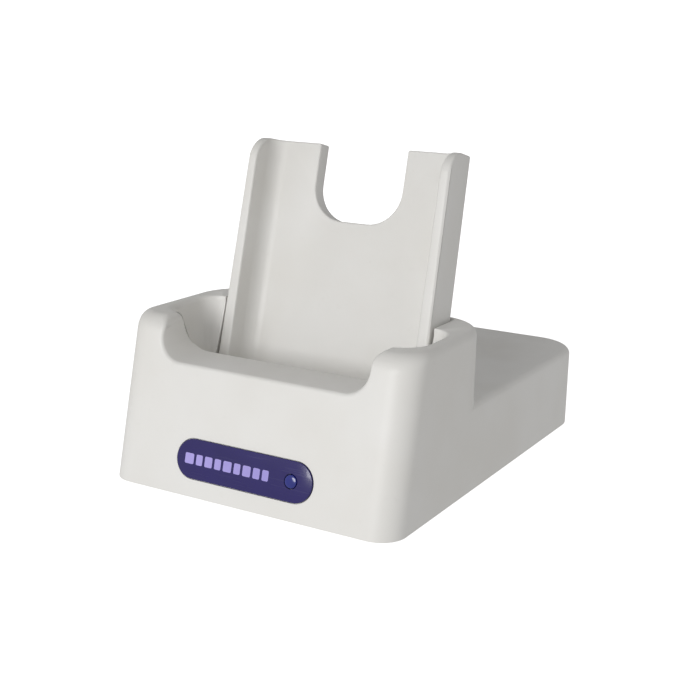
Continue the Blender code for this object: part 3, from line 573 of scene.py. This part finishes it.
def join(target, *others):
    for other in others:
        combine(target, other, "UNION")


def soften(piece, width, steps=3, where=None, angle=35):
    """Round the crisp edges of a solid, or those whose middle passes the where test."""
    bm = bmesh.new()
    bm.from_mesh(piece.data)
    bmesh.ops.dissolve_limit(bm, angle_limit=radians(0.6), verts=bm.verts, edges=bm.edges)
    crisp = []
    for edge in bm.edges:
        middle = (edge.verts[0].co + edge.verts[1].co) / 2
        if len(edge.link_faces) == 2 and edge.calc_face_angle() > radians(angle):
            if where is None or where(middle):
                crisp.append(edge)
    bmesh.ops.bevel(bm, geom=crisp, offset=width, offset_type="OFFSET", segments=steps, profile=0.5,
                    affect="EDGES", clamp_overlap=False, material=-1)
    bmesh.ops.remove_doubles(bm, verts=bm.verts, dist=WELD)
    bmesh.ops.dissolve_degenerate(bm, edges=bm.edges, dist=WELD)
    bm.to_mesh(piece.data)
    bm.free()
    return piece


def settle(piece, slot, *replaced, frame=None, body="base", sharp=40):
    """Scale a piece to metres, set it in its frame, finish it and hang it on its body."""
    if frame is not None:
        piece.data.transform(frame)
    piece.data.transform(Matrix.Scale(METRES, 4))
    bm = bmesh.new()
    bm.from_mesh(piece.data)
    bmesh.ops.triangulate(bm, faces=[face for face in bm.faces if len(face.verts) > 4])
    bm.to_mesh(piece.data)
    bm.free()
    piece.data.materials.clear()
    piece.data.materials.append(finishes[slot])
    piece.data.shade_smooth()
    piece.data.set_sharp_from_angle(angle=radians(sharp))
    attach(piece, body)
    if replaced:
        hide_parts(*replaced)
    return piece


# --- Housing ------------------------------------------------------------------------
def tub(name, inset, low, height, rear, rear_corner, rounds):
    """Leaning-fronted block with rounded top edges; rounds are front, side, rear."""
    top = height - inset
    front_round, side_round, rear_round = (max(r - inset, 0.4) for r in rounds)
    heights = [low] + [top - front_round * (1 - sin(pi / 2 * i / FINE)) for i in range(FINE + 1)]
    levels = []
    for z in heights:
        side = inset + round_inset(z, top, side_round)
        plan = Plan(SIDE_X - side, face_y(z) + inset + round_inset(z, top, front_round),
                    rear - inset - round_inset(z, top, rear_round), FRONT_CORNER - side, rear_corner - side)
        levels.append((plan, z))
    return rising(name, levels)


def block(name, inset, low):
    return tub(name, inset, low, BLOCK_HEIGHT, BLOCK_REAR_Y, BLOCK_REAR_CORNER, RIM_ROUNDS)


def deck(name, inset, low):
    return tub(name, inset, low, DECK_HEIGHT, REAR_Y, DECK_REAR_CORNER, DECK_ROUNDS)


def pocket(grow, drop, lip):
    """Funnel from the leaning floor up through the level rim."""
    foot_y = REST_FOOT_Y + SEAT * sin(LEAN)
    low_front = foot_y - (PLATE_THICK + DEVICE_THICK) * cos(LEAN)
    low_rear = foot_y - (WING_REACH - WING_EDGE) * cos(LEAN)
    high_front = face_y(BLOCK_HEIGHT) + POCKET_FRONT_RIM
    high_rear = rest_plane_y(BLOCK_HEIGHT, WING_REACH - WING_EDGE)

    def level(share, spread=0, lift=0):
        half = POCKET_HALF_FLOOR + (POCKET_HALF_RIM - POCKET_HALF_FLOOR) * share + grow + spread
        front = low_front + (high_front - low_front) * share - grow - spread
        rear = low_rear + (high_rear - low_rear) * share + grow
        corner = POCKET_CORNER_FLOOR + (POCKET_CORNER_RIM - POCKET_CORNER_FLOOR) * share + grow

        def height(x, y):
            floor = (SEAT - drop) / cos(LEAN) - tan(LEAN) * (y - REST_FOOT_Y)
            return (1 - share) * floor + share * BLOCK_HEIGHT + lift

        return Plan(half, front, rear, corner, corner * 0.7), height

    levels = [level(0), level(0.5 * (1 - lip / BLOCK_HEIGHT))]
    if lip:
        turns = [pi / 2 * i / 8 for i in range(9)]
        levels += [level(1, lip * (1 - cos(turn)), lip * (sin(turn) - 1)) for turn in turns]
        levels.append(level(1, lip, 2))
    else:
        levels.append(level(1, 0, -WALL))
    return rising("pocket", levels)


def rest_slot(grow, drop, pad_top=0):
    """What the backrest stands in, round a raised pad that carries the device."""
    half = REST_HALF[0] + grow
    made = brick("slot", (-half, half), (-WING_REACH - grow, grow), (SEAT - drop, REST_LENGTH))
    if pad_top:
        pad = Plan(CHANNEL_HALF[0] - grow, -2 * WING_REACH, -PLATE_THICK - grow, 1, CHANNEL_FILLET)
        cut(made, rising("pad", [(pad, 0), (pad, pad_top)]))
    made.data.transform(LEAN_FRAME)
    return made


def recess(grow):
    """Thumb recess through the double front wall."""
    reach = (FRONT_Y - CLEAR, face_y(BLOCK_HEIGHT) + POCKET_FRONT_RIM + 3 * POCKET_LIP)
    return notch_outline(RECESS_HALF + grow, RECESS_SILL - grow, BLOCK_HEIGHT - grow / 2,
                         RECESS_CORNER + grow, reach, RECESS_FLARE)


def pill(half, radius, low, high):
    """Round-ended bar, long in X, pushed along Y."""
    plan = Plan(half, -radius, radius, radius - 0.01, radius - 0.01)
    made = rising("pill", [(plan, -high), (plan, -low)])
    made.data.transform(Matrix.Rotation(pi / 2, 4, "X"))
    return made


def build_housing():
    shell = block("housing_shell", 0, FOOT_PROUD)
    join(shell, deck("deck", 0, FOOT_PROUD))
    cut(shell, pocket(0, 0, POCKET_LIP), recess(0))
    soften(shell, 1.3, 4, lambda p: p.z > RECESS_SILL - 4 and p.y < FRONT_Y + 28)
    soften(shell, 1.0, 3, lambda p: abs(p.z - DECK_HEIGHT + 1) < 2 and p.y > BLOCK_REAR_Y - 23.5)

    hollow = block("hollow", WALL, -CLEAR)
    join(hollow, deck("deck_hollow", WALL, -CLEAR))
    cut(hollow, pocket(POCKET_LINER, FLOOR_THICK, 0),
        rest_slot(GAP + POCKET_LINER, SLOT_STEP + FLOOR_THICK), recess(WALL))
    for x, y in HOUSING_SCREWS:
        top = FRONT_BOSS_TOP if y < 0 else DECK_HEIGHT
        cut(hollow, rod("boss", BOSS_R, PAD_TOP + GAP, top, at(x, y)))
    cut(shell, rest_slot(GAP, SLOT_STEP, SEAT + SEAT_PAD), hollow)
    badge_seat = pill(BADGE_HALF + GAP, BADGE_R + GAP, -CLEAR, BADGE_SEAT)
    badge_seat.data.transform(BADGE_FRAME)
    cut(shell, badge_seat)
    cut(shell, rod("lens_hole", LENS_R + GAP, -CLEAR, 3 * WALL, BADGE_FRAME @ at(LENS_X, 0) @ ALONG_Y))
    half, depth = CARRIER_HALF + GAP, CARRIER_DEPTH / 2 + GAP
    cut(shell, brick("contact_window", (-half, half), (-CONTACT_REACH - depth, -CONTACT_REACH + depth),
                     (SEAT - 2 * FLOOR_THICK, SEAT + FLOOR_THICK), LEAN_FRAME))
    for x, y in HOUSING_SCREWS:
        cut(shell, rod("pilot", SCREW["radius"] + GAP, -CLEAR, PILOT_TOP, at(x, y)))
    for x, width, height in (JACK, DATA):
        half = width / 2 + PORT_GAP
        cut(shell, brick("port", (x - half, x + half), (REAR_Y - CLEAR, REAR_Y + CLEAR),
                         (BOARD_TOP + 0.1, PART_BOTTOM + height + 2 * GAP)))
    settle(shell, "shell", "upper_housing")


# --- Backrest -----------------------------------------------------------------------
def tapered(name, low_half, top_half, front, rear, front_r, rear_r, low, high):
    """Solid that narrows on its way up, drawn from the backrest's foot to its top."""
    foot = SEAT - SLOT_STEP + GAP
    slope = (top_half - low_half) / (REST_LENGTH - foot)
    return rising(name, [(Plan(low_half + slope * (z - foot), front, rear, front_r, rear_r), z)
                         for z in (low, high)])


def rest_core(name, margin, depth, proud):
    """The rear coring of the backrest, or the panel that closes it."""
    half = REST_HALF[1] - margin
    core = brick(name, (-half, half), (-depth, proud), (CORE_BOTTOM + margin, REST_LENGTH - margin))
    cut(core, notch_outline(NOTCH_HALF + margin, NOTCH_BOTTOM - margin, REST_LENGTH + CLEAR,
                            NOTCH_CORNER + margin, (-WING_REACH, WING_REACH)))
    return core


def build_backrest():
    foot = SEAT - SLOT_STEP + GAP
    toe = CHANNEL_HALF[0] - CHANNEL_FILLET / 2
    body = tapered("backrest_shell", *REST_HALF, -WING_REACH, 0, WING_EDGE, REST_REAR_ROUND, foot,
                   REST_LENGTH)
    cut(body, tapered("channel", *CHANNEL_HALF, -2 * WING_REACH, -PLATE_THICK, 1, CHANNEL_FILLET, 0,
                      REST_LENGTH + foot),
        brick("toe", (-toe, toe), (-2 * PLATE_THICK, TOE_RELIEF - PLATE_THICK), (0, SEAT + SEAT_PAD + GAP)),
        notch_outline(NOTCH_HALF, NOTCH_BOTTOM, REST_LENGTH + foot, NOTCH_CORNER,
                      (-2 * WING_REACH, WING_REACH)))
    corner = brick("wing_top", (-SIDE_X, SIDE_X), (-2 * WING_REACH, -WING_REACH + WING_TOP_ROUND),
                   (REST_LENGTH - WING_TOP_ROUND, 2 * REST_LENGTH))
    cut(corner, rod("wing_round", WING_TOP_ROUND, -SIDE_X - CLEAR, SIDE_X + CLEAR,
                    at(0, -WING_REACH + WING_TOP_ROUND, REST_LENGTH - WING_TOP_ROUND)
                    @ Matrix.Rotation(pi / 2, 4, "Y"), 64))
    cut(body, corner)
    soften(body, 0.7, 3, lambda p: p.z > foot + 2 and p.y < -1, 40)
    cut(body, rest_core("core", CORE_MARGIN, PLATE_THICK - PLATE_SKIN, CLEAR))
    soften(body, 0.5, 2, lambda p: p.z > foot + 2 and p.y > -1, 50)
    settle(body, "shell", "backrest", frame=LEAN_FRAME)
    panel = soften(rest_core("backrest_rear_panel", CORE_MARGIN + GAP, CORE_COVER, 0), 0.3, 2)
    settle(panel, "cover", "backrest_rear_cover", frame=LEAN_FRAME)


# --- Badge --------------------------------------------------------------------------
def build_badge():
    """Badge plate with a crowned edge, its generic printed blocks and the lamp's lens."""
    plate = pill(BADGE_HALF, BADGE_R, -BADGE_PROUD, BADGE_SEAT - GAP)
    plate.name = "badge_plate"
    soften(plate, 0.3, 3, lambda p: p.y < 0)
    aim = at(LENS_X, 0) @ ALONG_Y
    cut(plate, rod("lens_hole", LENS_R + GAP, -CLEAR, CLEAR, aim, 48))
    settle(plate, "badge", "front_badge", frame=BADGE_FRAME)

    lens = turned("lens_window", [(LENS_R * 0.45, -BADGE_PROUD - 0.4), (LENS_R * 0.8, -BADGE_PROUD - 0.3),
                                  (LENS_R * 0.96, -BADGE_PROUD - 0.1), (LENS_R, -BADGE_PROUD + 0.15),
                                  (LENS_R, LENS_LENGTH - BADGE_PROUD)], aim, 48)
    settle(lens, "lens", "status_lens", frame=BADGE_FRAME)

    left = PRINT_LEFT
    low, high = -BADGE_PROUD - PRINT_PROUD, -BADGE_PROUD + PRINT_SUNK
    for i, width in enumerate(PRINT_WIDTHS, 1):
        mark = brick("print_block", (left, left + width), (low, high), (-PRINT_HALF, PRINT_HALF))
        soften(mark, PRINT_CORNER, 3, lambda p: abs(p.y - (low + high) / 2) < 0.02)
        settle(mark, "print", frame=BADGE_FRAME)
        mark.name = f"print_block_{i}"
        left += width + PRINT_GAP


# --- Small hardware -------------------------------------------------------------------
def softened(node, width, slot, steps=2, angle=30):
    """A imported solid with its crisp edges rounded, which then stands for it."""
    bm = bmesh.new()
    bm.from_mesh(nodes[node].data)
    bmesh.ops.remove_doubles(bm, verts=bm.verts, dist=1e-6)
    bmesh.ops.scale(bm, verts=bm.verts, vec=(1 / METRES,) * 3)
    piece = soften(solid(node + "_detail", bm), width, steps, None, angle)
    return settle(piece, slot, node)


def span(node):
    """The (low, high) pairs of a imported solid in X, Y and Z, in millimetres."""
    low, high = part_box(node)
    return [(a / METRES, b / METRES) for a, b in zip(low, high)]


def coil(name, low, high, radius, wire, turns):
    """Round-wire helix about Z with closed ends."""
    per_turn = 32
    bm = bmesh.new()
    bmesh.ops.create_circle(bm, segments=10, radius=wire / 2)
    bmesh.ops.rotate(bm, verts=bm.verts, cent=(0, 0, 0), matrix=Matrix.Rotation(pi / 2, 3, "X"))
    bmesh.ops.translate(bm, verts=bm.verts, vec=(radius, 0, low))
    rise = (high - low) / (turns * per_turn)
    bmesh.ops.spin(bm, geom=bm.verts[:] + bm.edges[:], cent=(0, 0, 0), axis=(0, 0, 1), dvec=(0, 0, rise),
                   angle=2 * pi * turns, steps=int(turns * per_turn))
    bmesh.ops.holes_fill(bm, edges=[edge for edge in bm.edges if edge.is_boundary], sides=0)
    return solid(name, bm)


def build_contacts():
    """Sprung contacts, their springs, the block that guides them and their board."""
    front, rear = -CONTACT_REACH - CARRIER_DEPTH / 2, -CONTACT_REACH + CARRIER_DEPTH / 2
    guide = brick("contact_guide", (-CARRIER_HALF, CARRIER_HALF), (front, rear),
                  (SPRING_SEAT + GAP, SEAT + CARRIER_PROUD))
    flange_top = SEAT - SLOT_STEP - FLOOR_THICK - GAP
    join(guide, brick("flange", (-FLANGE_HALF, FLANGE_HALF), (front - 1, rear + 1),
                      (flange_top - FLANGE_THICK, flange_top)))
    soften(guide, 0.3, 3)
    for x in CONTACT_ROW:
        place = at(x, -CONTACT_REACH)
        cut(guide, rod("bore", COLLAR_R + GAP, 0, SEAT - GAP, place),
            rod("mouth", SHAFT_R + GAP, SEAT - 1, SEAT + 3, place, 24))
    for x in (-CONTACT_SCREW_X, CONTACT_SCREW_X):
        cut(guide, rod("hole", SMALL_SCREW["radius"] + GAP, 0, SEAT, at(x, -CONTACT_REACH), 24))
    settle(guide, "black", "contact_carrier", frame=LEAN_FRAME)
    softened("contact_board", 0.15, "board")

    edge, high = 0.12, COLLAR_LOW + COLLAR_LENGTH
    profile = [(COLLAR_R - edge, COLLAR_LOW), (COLLAR_R, COLLAR_LOW + edge), (COLLAR_R, high - edge),
               (COLLAR_R - edge, high), (SHAFT_R, high), (SHAFT_R, CONTACT_TOP - SHAFT_R)]
    profile += [(SHAFT_R * cos(turn), CONTACT_TOP - SHAFT_R + SHAFT_R * sin(turn))
                for turn in (0.35, 0.7, 1.05, 1.35)]
    inset = GAP + SPRING_WIRE / 2
    for i, x in enumerate(CONTACT_ROW, 1):
        place = LEAN_FRAME @ at(x, -CONTACT_REACH)
        settle(turned("plunger", profile), "gold", f"contact_pin_{i}", frame=place, body=f"pin_{i}")
        spring = coil("return_spring", SPRING_SEAT + inset, COLLAR_LOW - inset, COLLAR_R - SPRING_WIRE,
                      SPRING_WIRE, SPRING_TURNS)
        settle(spring, "steel", f"contact_spring_{i}", frame=place)
        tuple(LEAN_FRAME.col[2][:3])
        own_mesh(spring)


def driven_screw(node, frame, length, radius, head, rise):
    """Pan-head screw with a rolled thread and a cross recess, head below and shaft upward."""
    root, edge = radius * 0.82, 0.12
    profile = [(head * 0.5, -rise), (head * 0.75, -rise * 0.95), (head * 0.92, -rise * 0.78),
               (head, -rise * 0.5), (head, -edge), (head - edge, 0), (root, 0)]
    pitch = radius * 0.42
    for i in range(1, int((length - radius) / pitch)):
        profile += [(root, pitch * (i - 0.3)), (radius, pitch * i), (root, pitch * (i + 0.3))]
    profile += [(radius * 0.8, length - radius), (radius * 0.3, length)]
    piece = turned(node + "_detail", profile, sides=24)
    arm, slit, depth = head * 0.52, head * 0.11, (-rise - 1, -rise * 0.35)
    cross = brick("cross", (-arm, arm), (-slit, slit), depth)
    join(cross, brick("arm", (-slit, slit), (-arm, arm), depth))
    cut(piece, cross)
    settle(piece, "steel", node, frame=frame, sharp=30)


def middle_of(node):
    """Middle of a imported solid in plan, in millimetres."""
    (left, right), (front, rear), _ = span(node)
    return (left + right) / 2, (front + rear) / 2


def build_screws():
    for i, (x, y) in enumerate(HOUSING_SCREWS, 1):
        driven_screw(f"housing_screw_{i}", at(x, y, FOOT_PROUD + SCREW["rise"]), 11, **SCREW)
    floor_low = SEAT - SLOT_STEP - FLOOR_THICK - GAP
    for i, side in enumerate((-1, 1), 1):
        place = LEAN_FRAME @ at(side * REST_SCREW_X, -WING_REACH / 2, floor_low)
        driven_screw(f"backrest_screw_{i}", place, 10, **SMALL_SCREW)
        place = LEAN_FRAME @ at(side * CONTACT_SCREW_X, -CONTACT_REACH, SPRING_SEAT - 1.6 - GAP)
        driven_screw(f"contact_screw_{i}", place, 8, **SMALL_SCREW)
    down = Matrix.Rotation(pi, 4, "X")
    for name, count, bearing in (("board", 4, BOARD_TOP + GAP), ("ballast", 2, BALLAST_TOP + GAP)):
        for i in range(1, count + 1):
            node = f"{name}_screw_{i}"
            driven_screw(node, at(*middle_of(node), bearing) @ down, bearing - PILOT_LOW - GAP, **SMALL_SCREW)


def build_underside():
    """Bottom cover with its pads and posts, the feet and the ballast."""
    levels = []
    for z, draw in ((FOOT_PROUD, 0.5), (FOOT_PROUD + 0.15, 0.15), (FOOT_PROUD + 0.5, 0), (COVER_TOP, 0)):
        side = WALL + GAP + draw
        levels.append((Plan(SIDE_X - side, face_y(z) + side, REAR_Y - side, FRONT_CORNER - side,
                            DECK_REAR_CORNER - side), z))
    cover = rising("bottom_plate", levels)
    posts = [middle_of(f"board_screw_{i}") for i in range(1, 5)]
    ballast = [middle_of(f"ballast_screw_{i}") for i in (1, 2)]
    for x, y in HOUSING_SCREWS:
        join(cover, rod("pad", BOSS_R, PILOT_LOW, PAD_TOP, at(x, y)))
    for x, y in posts:
        join(cover, rod("post", POST_R, PILOT_LOW, POST_TOP, at(x, y)))
    for x, y in HOUSING_SCREWS:
        cut(cover, rod("hole", SCREW["radius"] + GAP, 0, POST_TOP + GAP, at(x, y)),
            rod("sink", SCREW["head"] + GAP, 0, FOOT_PROUD + SCREW["rise"] + GAP, at(x, y), 48))
    for x, y in posts + ballast:
        cut(cover, rod("pilot", SMALL_SCREW["radius"] + GAP, PILOT_LOW, POST_TOP + GAP, at(x, y), 24))
    pad = [(FOOT_R - 1.7, 0.22), (FOOT_R - 1.4, 0), (FOOT_R - 0.4, 0), (FOOT_R - 0.12, 0.12), (FOOT_R, 0.4),
           (FOOT_R, FOOT_TOP)]
    for i in range(1, 5):
        place = at(*middle_of(f"rubber_foot_{i}"))
        cut(cover, rod("foot_seat", FOOT_R + GAP, 0, FOOT_TOP + GAP, place, 64))
        settle(turned("foot_pad", pad, place, 64), "rubber", f"rubber_foot_{i}")
    settle(cover, "cover", "bottom_cover", sharp=30)
    softened("ballast_bar", 0.6, "ballast", 3)


def build_sockets():
    """Power and data sockets, which look out through the rear wall."""
    def blank(name, x, width, height, depth, edge):
        return soften(brick(name, (x - width / 2, x + width / 2), (SOCKET_REAR - depth, SOCKET_REAR),
                            (PART_BOTTOM, PART_BOTTOM + height)), edge, 3)

    jack = blank("power_socket", *JACK, JACK_DEPTH, 0.5)
    aim = at(JACK[0], SOCKET_REAR, PART_BOTTOM + JACK[2] / 2) @ ALONG_Y
    flare = JACK_BORE_R + 0.4
    bore = [(JACK_BORE_R, 3 - JACK_DEPTH), (JACK_BORE_R, -0.4), (flare, 0.05), (flare, CLEAR)]
    cut(jack, turned("bore", bore, aim, 48))
    join(jack, turned("centre_pin", [(JACK_PIN_R, 2 - JACK_DEPTH), (JACK_PIN_R, -2.1),
                                     (JACK_PIN_R * 0.85, -1.7), (JACK_PIN_R * 0.5, -1.5)], aim))
    settle(jack, "black", "dc_jack")

    x, middle = DATA[0], PART_BOTTOM + DATA[2] / 2
    port = blank("data_socket", *DATA, DATA_DEPTH, 0.4)
    half, tall = DATA_WELL
    cut(port, brick("well", (x - half, x + half), (SOCKET_REAR - DATA_DEPTH + 3, REAR_Y + 1),
                    (middle - tall, middle + tall)))
    half, tall = DATA_TONGUE
    join(port, brick("tongue", (x - half, x + half), (SOCKET_REAR - DATA_DEPTH + 2, SOCKET_REAR - 1.5),
                     (middle - tall, middle + tall)))
    soften(port, 0.25, 2, lambda p: p.y > SOCKET_REAR - 3 and abs(p.x - x) < 5, 50)
    settle(port, "steel", "data_port")


def build_electronics():
    for node in ("main_board", "led_board"):
        softened(node, 0.15, "board")
    for node, slot, edge in (("charge_controller", "chip", 0.2), ("interface_chip", "chip", 0.2),
                             ("power_inductor", "ferrite", 0.9), ("ribbon_header", "black", 0.3),
                             ("led_header", "black", 0.3), ("contact_ribbon", "cable", 0.1),
                             ("led_cable", "cable", 0.1)):
        softened(node, edge, slot, 3)
    for i in (1, 2):
        node = f"smoothing_capacitor_{i}"
        low, high = span(node)[2]
        profile = [(3.4, low), (3.9, low + 0.3), (4, low + 0.7), (4, low + 1.3), (3.7, low + 1.6),
                   (3.7, low + 1.8), (4, low + 2.1), (4, high - 0.6), (3.85, high - 0.15), (3.5, high),
                   (3.2, high - 0.15)]
        settle(turned("capacitor_can", profile, at(*middle_of(node))), "black", node)
    low = LENS_LENGTH - BADGE_PROUD + GAP
    dome = [(LAMP_R * sin(turn), low + 0.9 * (1 - cos(turn))) for turn in (0.3, 0.6, 0.9, 1.2, 1.5)]
    lamp = turned("lamp_dome", dome + [(LAMP_R, low + LAMP_LENGTH)], at(LENS_X, 0) @ ALONG_Y)
    settle(lamp, "led", "status_led", frame=BADGE_FRAME)


# --- Stage, lights and camera ------------------------------------------------------
AZIMUTH = radians(30.32)
ELEVATION = radians(13.07)
ROLL = radians(1.26)
TARGET = Vector((0.0, -0.028, 0.060))
DISTANCE = 0.4835
FOCAL_LENGTH = 65.4
SHIFT = (0.027, -0.046)
SKY = 0.54
OBJECT_MIDDLE = (0, -0.02, 0.05)


def build_camera():
    back = Vector((sin(AZIMUTH) * cos(ELEVATION), -cos(AZIMUTH) * cos(ELEVATION), sin(ELEVATION)))
    right = Vector((cos(AZIMUTH), sin(AZIMUTH), 0))
    up = back.cross(right)
    turned_right = right * cos(ROLL) + up * sin(ROLL)
    turned_up = up * cos(ROLL) - right * sin(ROLL)
    turn = Matrix((turned_right, turned_up, back)).transposed().to_4x4()
    data = bpy.data.cameras.new("camera")
    data.lens = FOCAL_LENGTH
    data.shift_x, data.shift_y = SHIFT
    camera = bpy.data.objects.new("camera", data)
    camera.matrix_world = Matrix.Translation(TARGET + back * DISTANCE) @ turn
    bpy.context.scene.collection.objects.link(camera)
    bpy.context.scene.camera = camera


def softbox(name, place, aim, width, height, power):
    data = bpy.data.lights.new(name, "AREA")
    data.shape = "RECTANGLE"
    data.size = width
    data.size_y = height
    data.energy = power
    light = bpy.data.objects.new(name, data)
    toward = Vector(aim) - Vector(place)
    light.matrix_world = Matrix.Translation(place) @ toward.to_track_quat("-Z", "Y").to_matrix().to_4x4()
    bpy.context.scene.collection.objects.link(light)


def backdrop(name, glow, place, size, shade=0.93, seen=True):
    """Sheet of paper: glowing white behind the object, or a dark flag that shades it unseen."""
    paint = Paint(name + "_paper", Roughness=0.9, Specular_IOR_Level=0.1, Emission_Color=colour(1, 1, 1),
                  Emission_Strength=glow)
    paint.into("Base Color", paint.blend(paint.noise(60), colour(shade, shade, shade),
                                         colour(shade + 0.02, shade + 0.02, shade + 0.02)))
    bm = bmesh.new()
    bmesh.ops.create_grid(bm, x_segments=8, y_segments=8, size=size)
    mesh = bpy.data.meshes.new(name)
    bm.to_mesh(mesh)
    bm.free()
    mesh.transform(place)
    paper = bpy.data.objects.new(name, mesh)
    bpy.context.scene.collection.objects.link(paper)
    mesh.materials.append(paint.material)
    paper.visible_camera = seen
    paper.visible_diffuse = not seen
    paper.visible_glossy = False


def build_stage():
    backdrop("floor", 0.8, Matrix.Translation((0, 0, -0.0002)), 6)
    backdrop("rear_wall", 1.0, Matrix.Translation((0, 5.9, 0)) @ Matrix.Rotation(pi / 2, 4, "X"), 9)
    backdrop("overhead_flag", 0, Matrix.Translation((0, 0.02, 0.5)), 0.3, 0.03, False)
    world = bpy.data.worlds.new("studio")
    world.use_nodes = True
    world.node_tree.nodes["Background"].inputs["Color"].default_value = colour(1, 1, 1)
    world.node_tree.nodes["Background"].inputs["Strength"].default_value = SKY
    bpy.context.scene.world = world
    softbox("key", (-0.08, -1.35, 0.43), OBJECT_MIDDLE, 0.7, 0.5, 8.7)
    bpy.context.scene.view_settings.view_transform = "Standard"


build_camera()
build_stage()
build_housing()
build_backrest()
build_badge()
build_contacts()
build_screws()
build_underside()
build_sockets()
build_electronics()
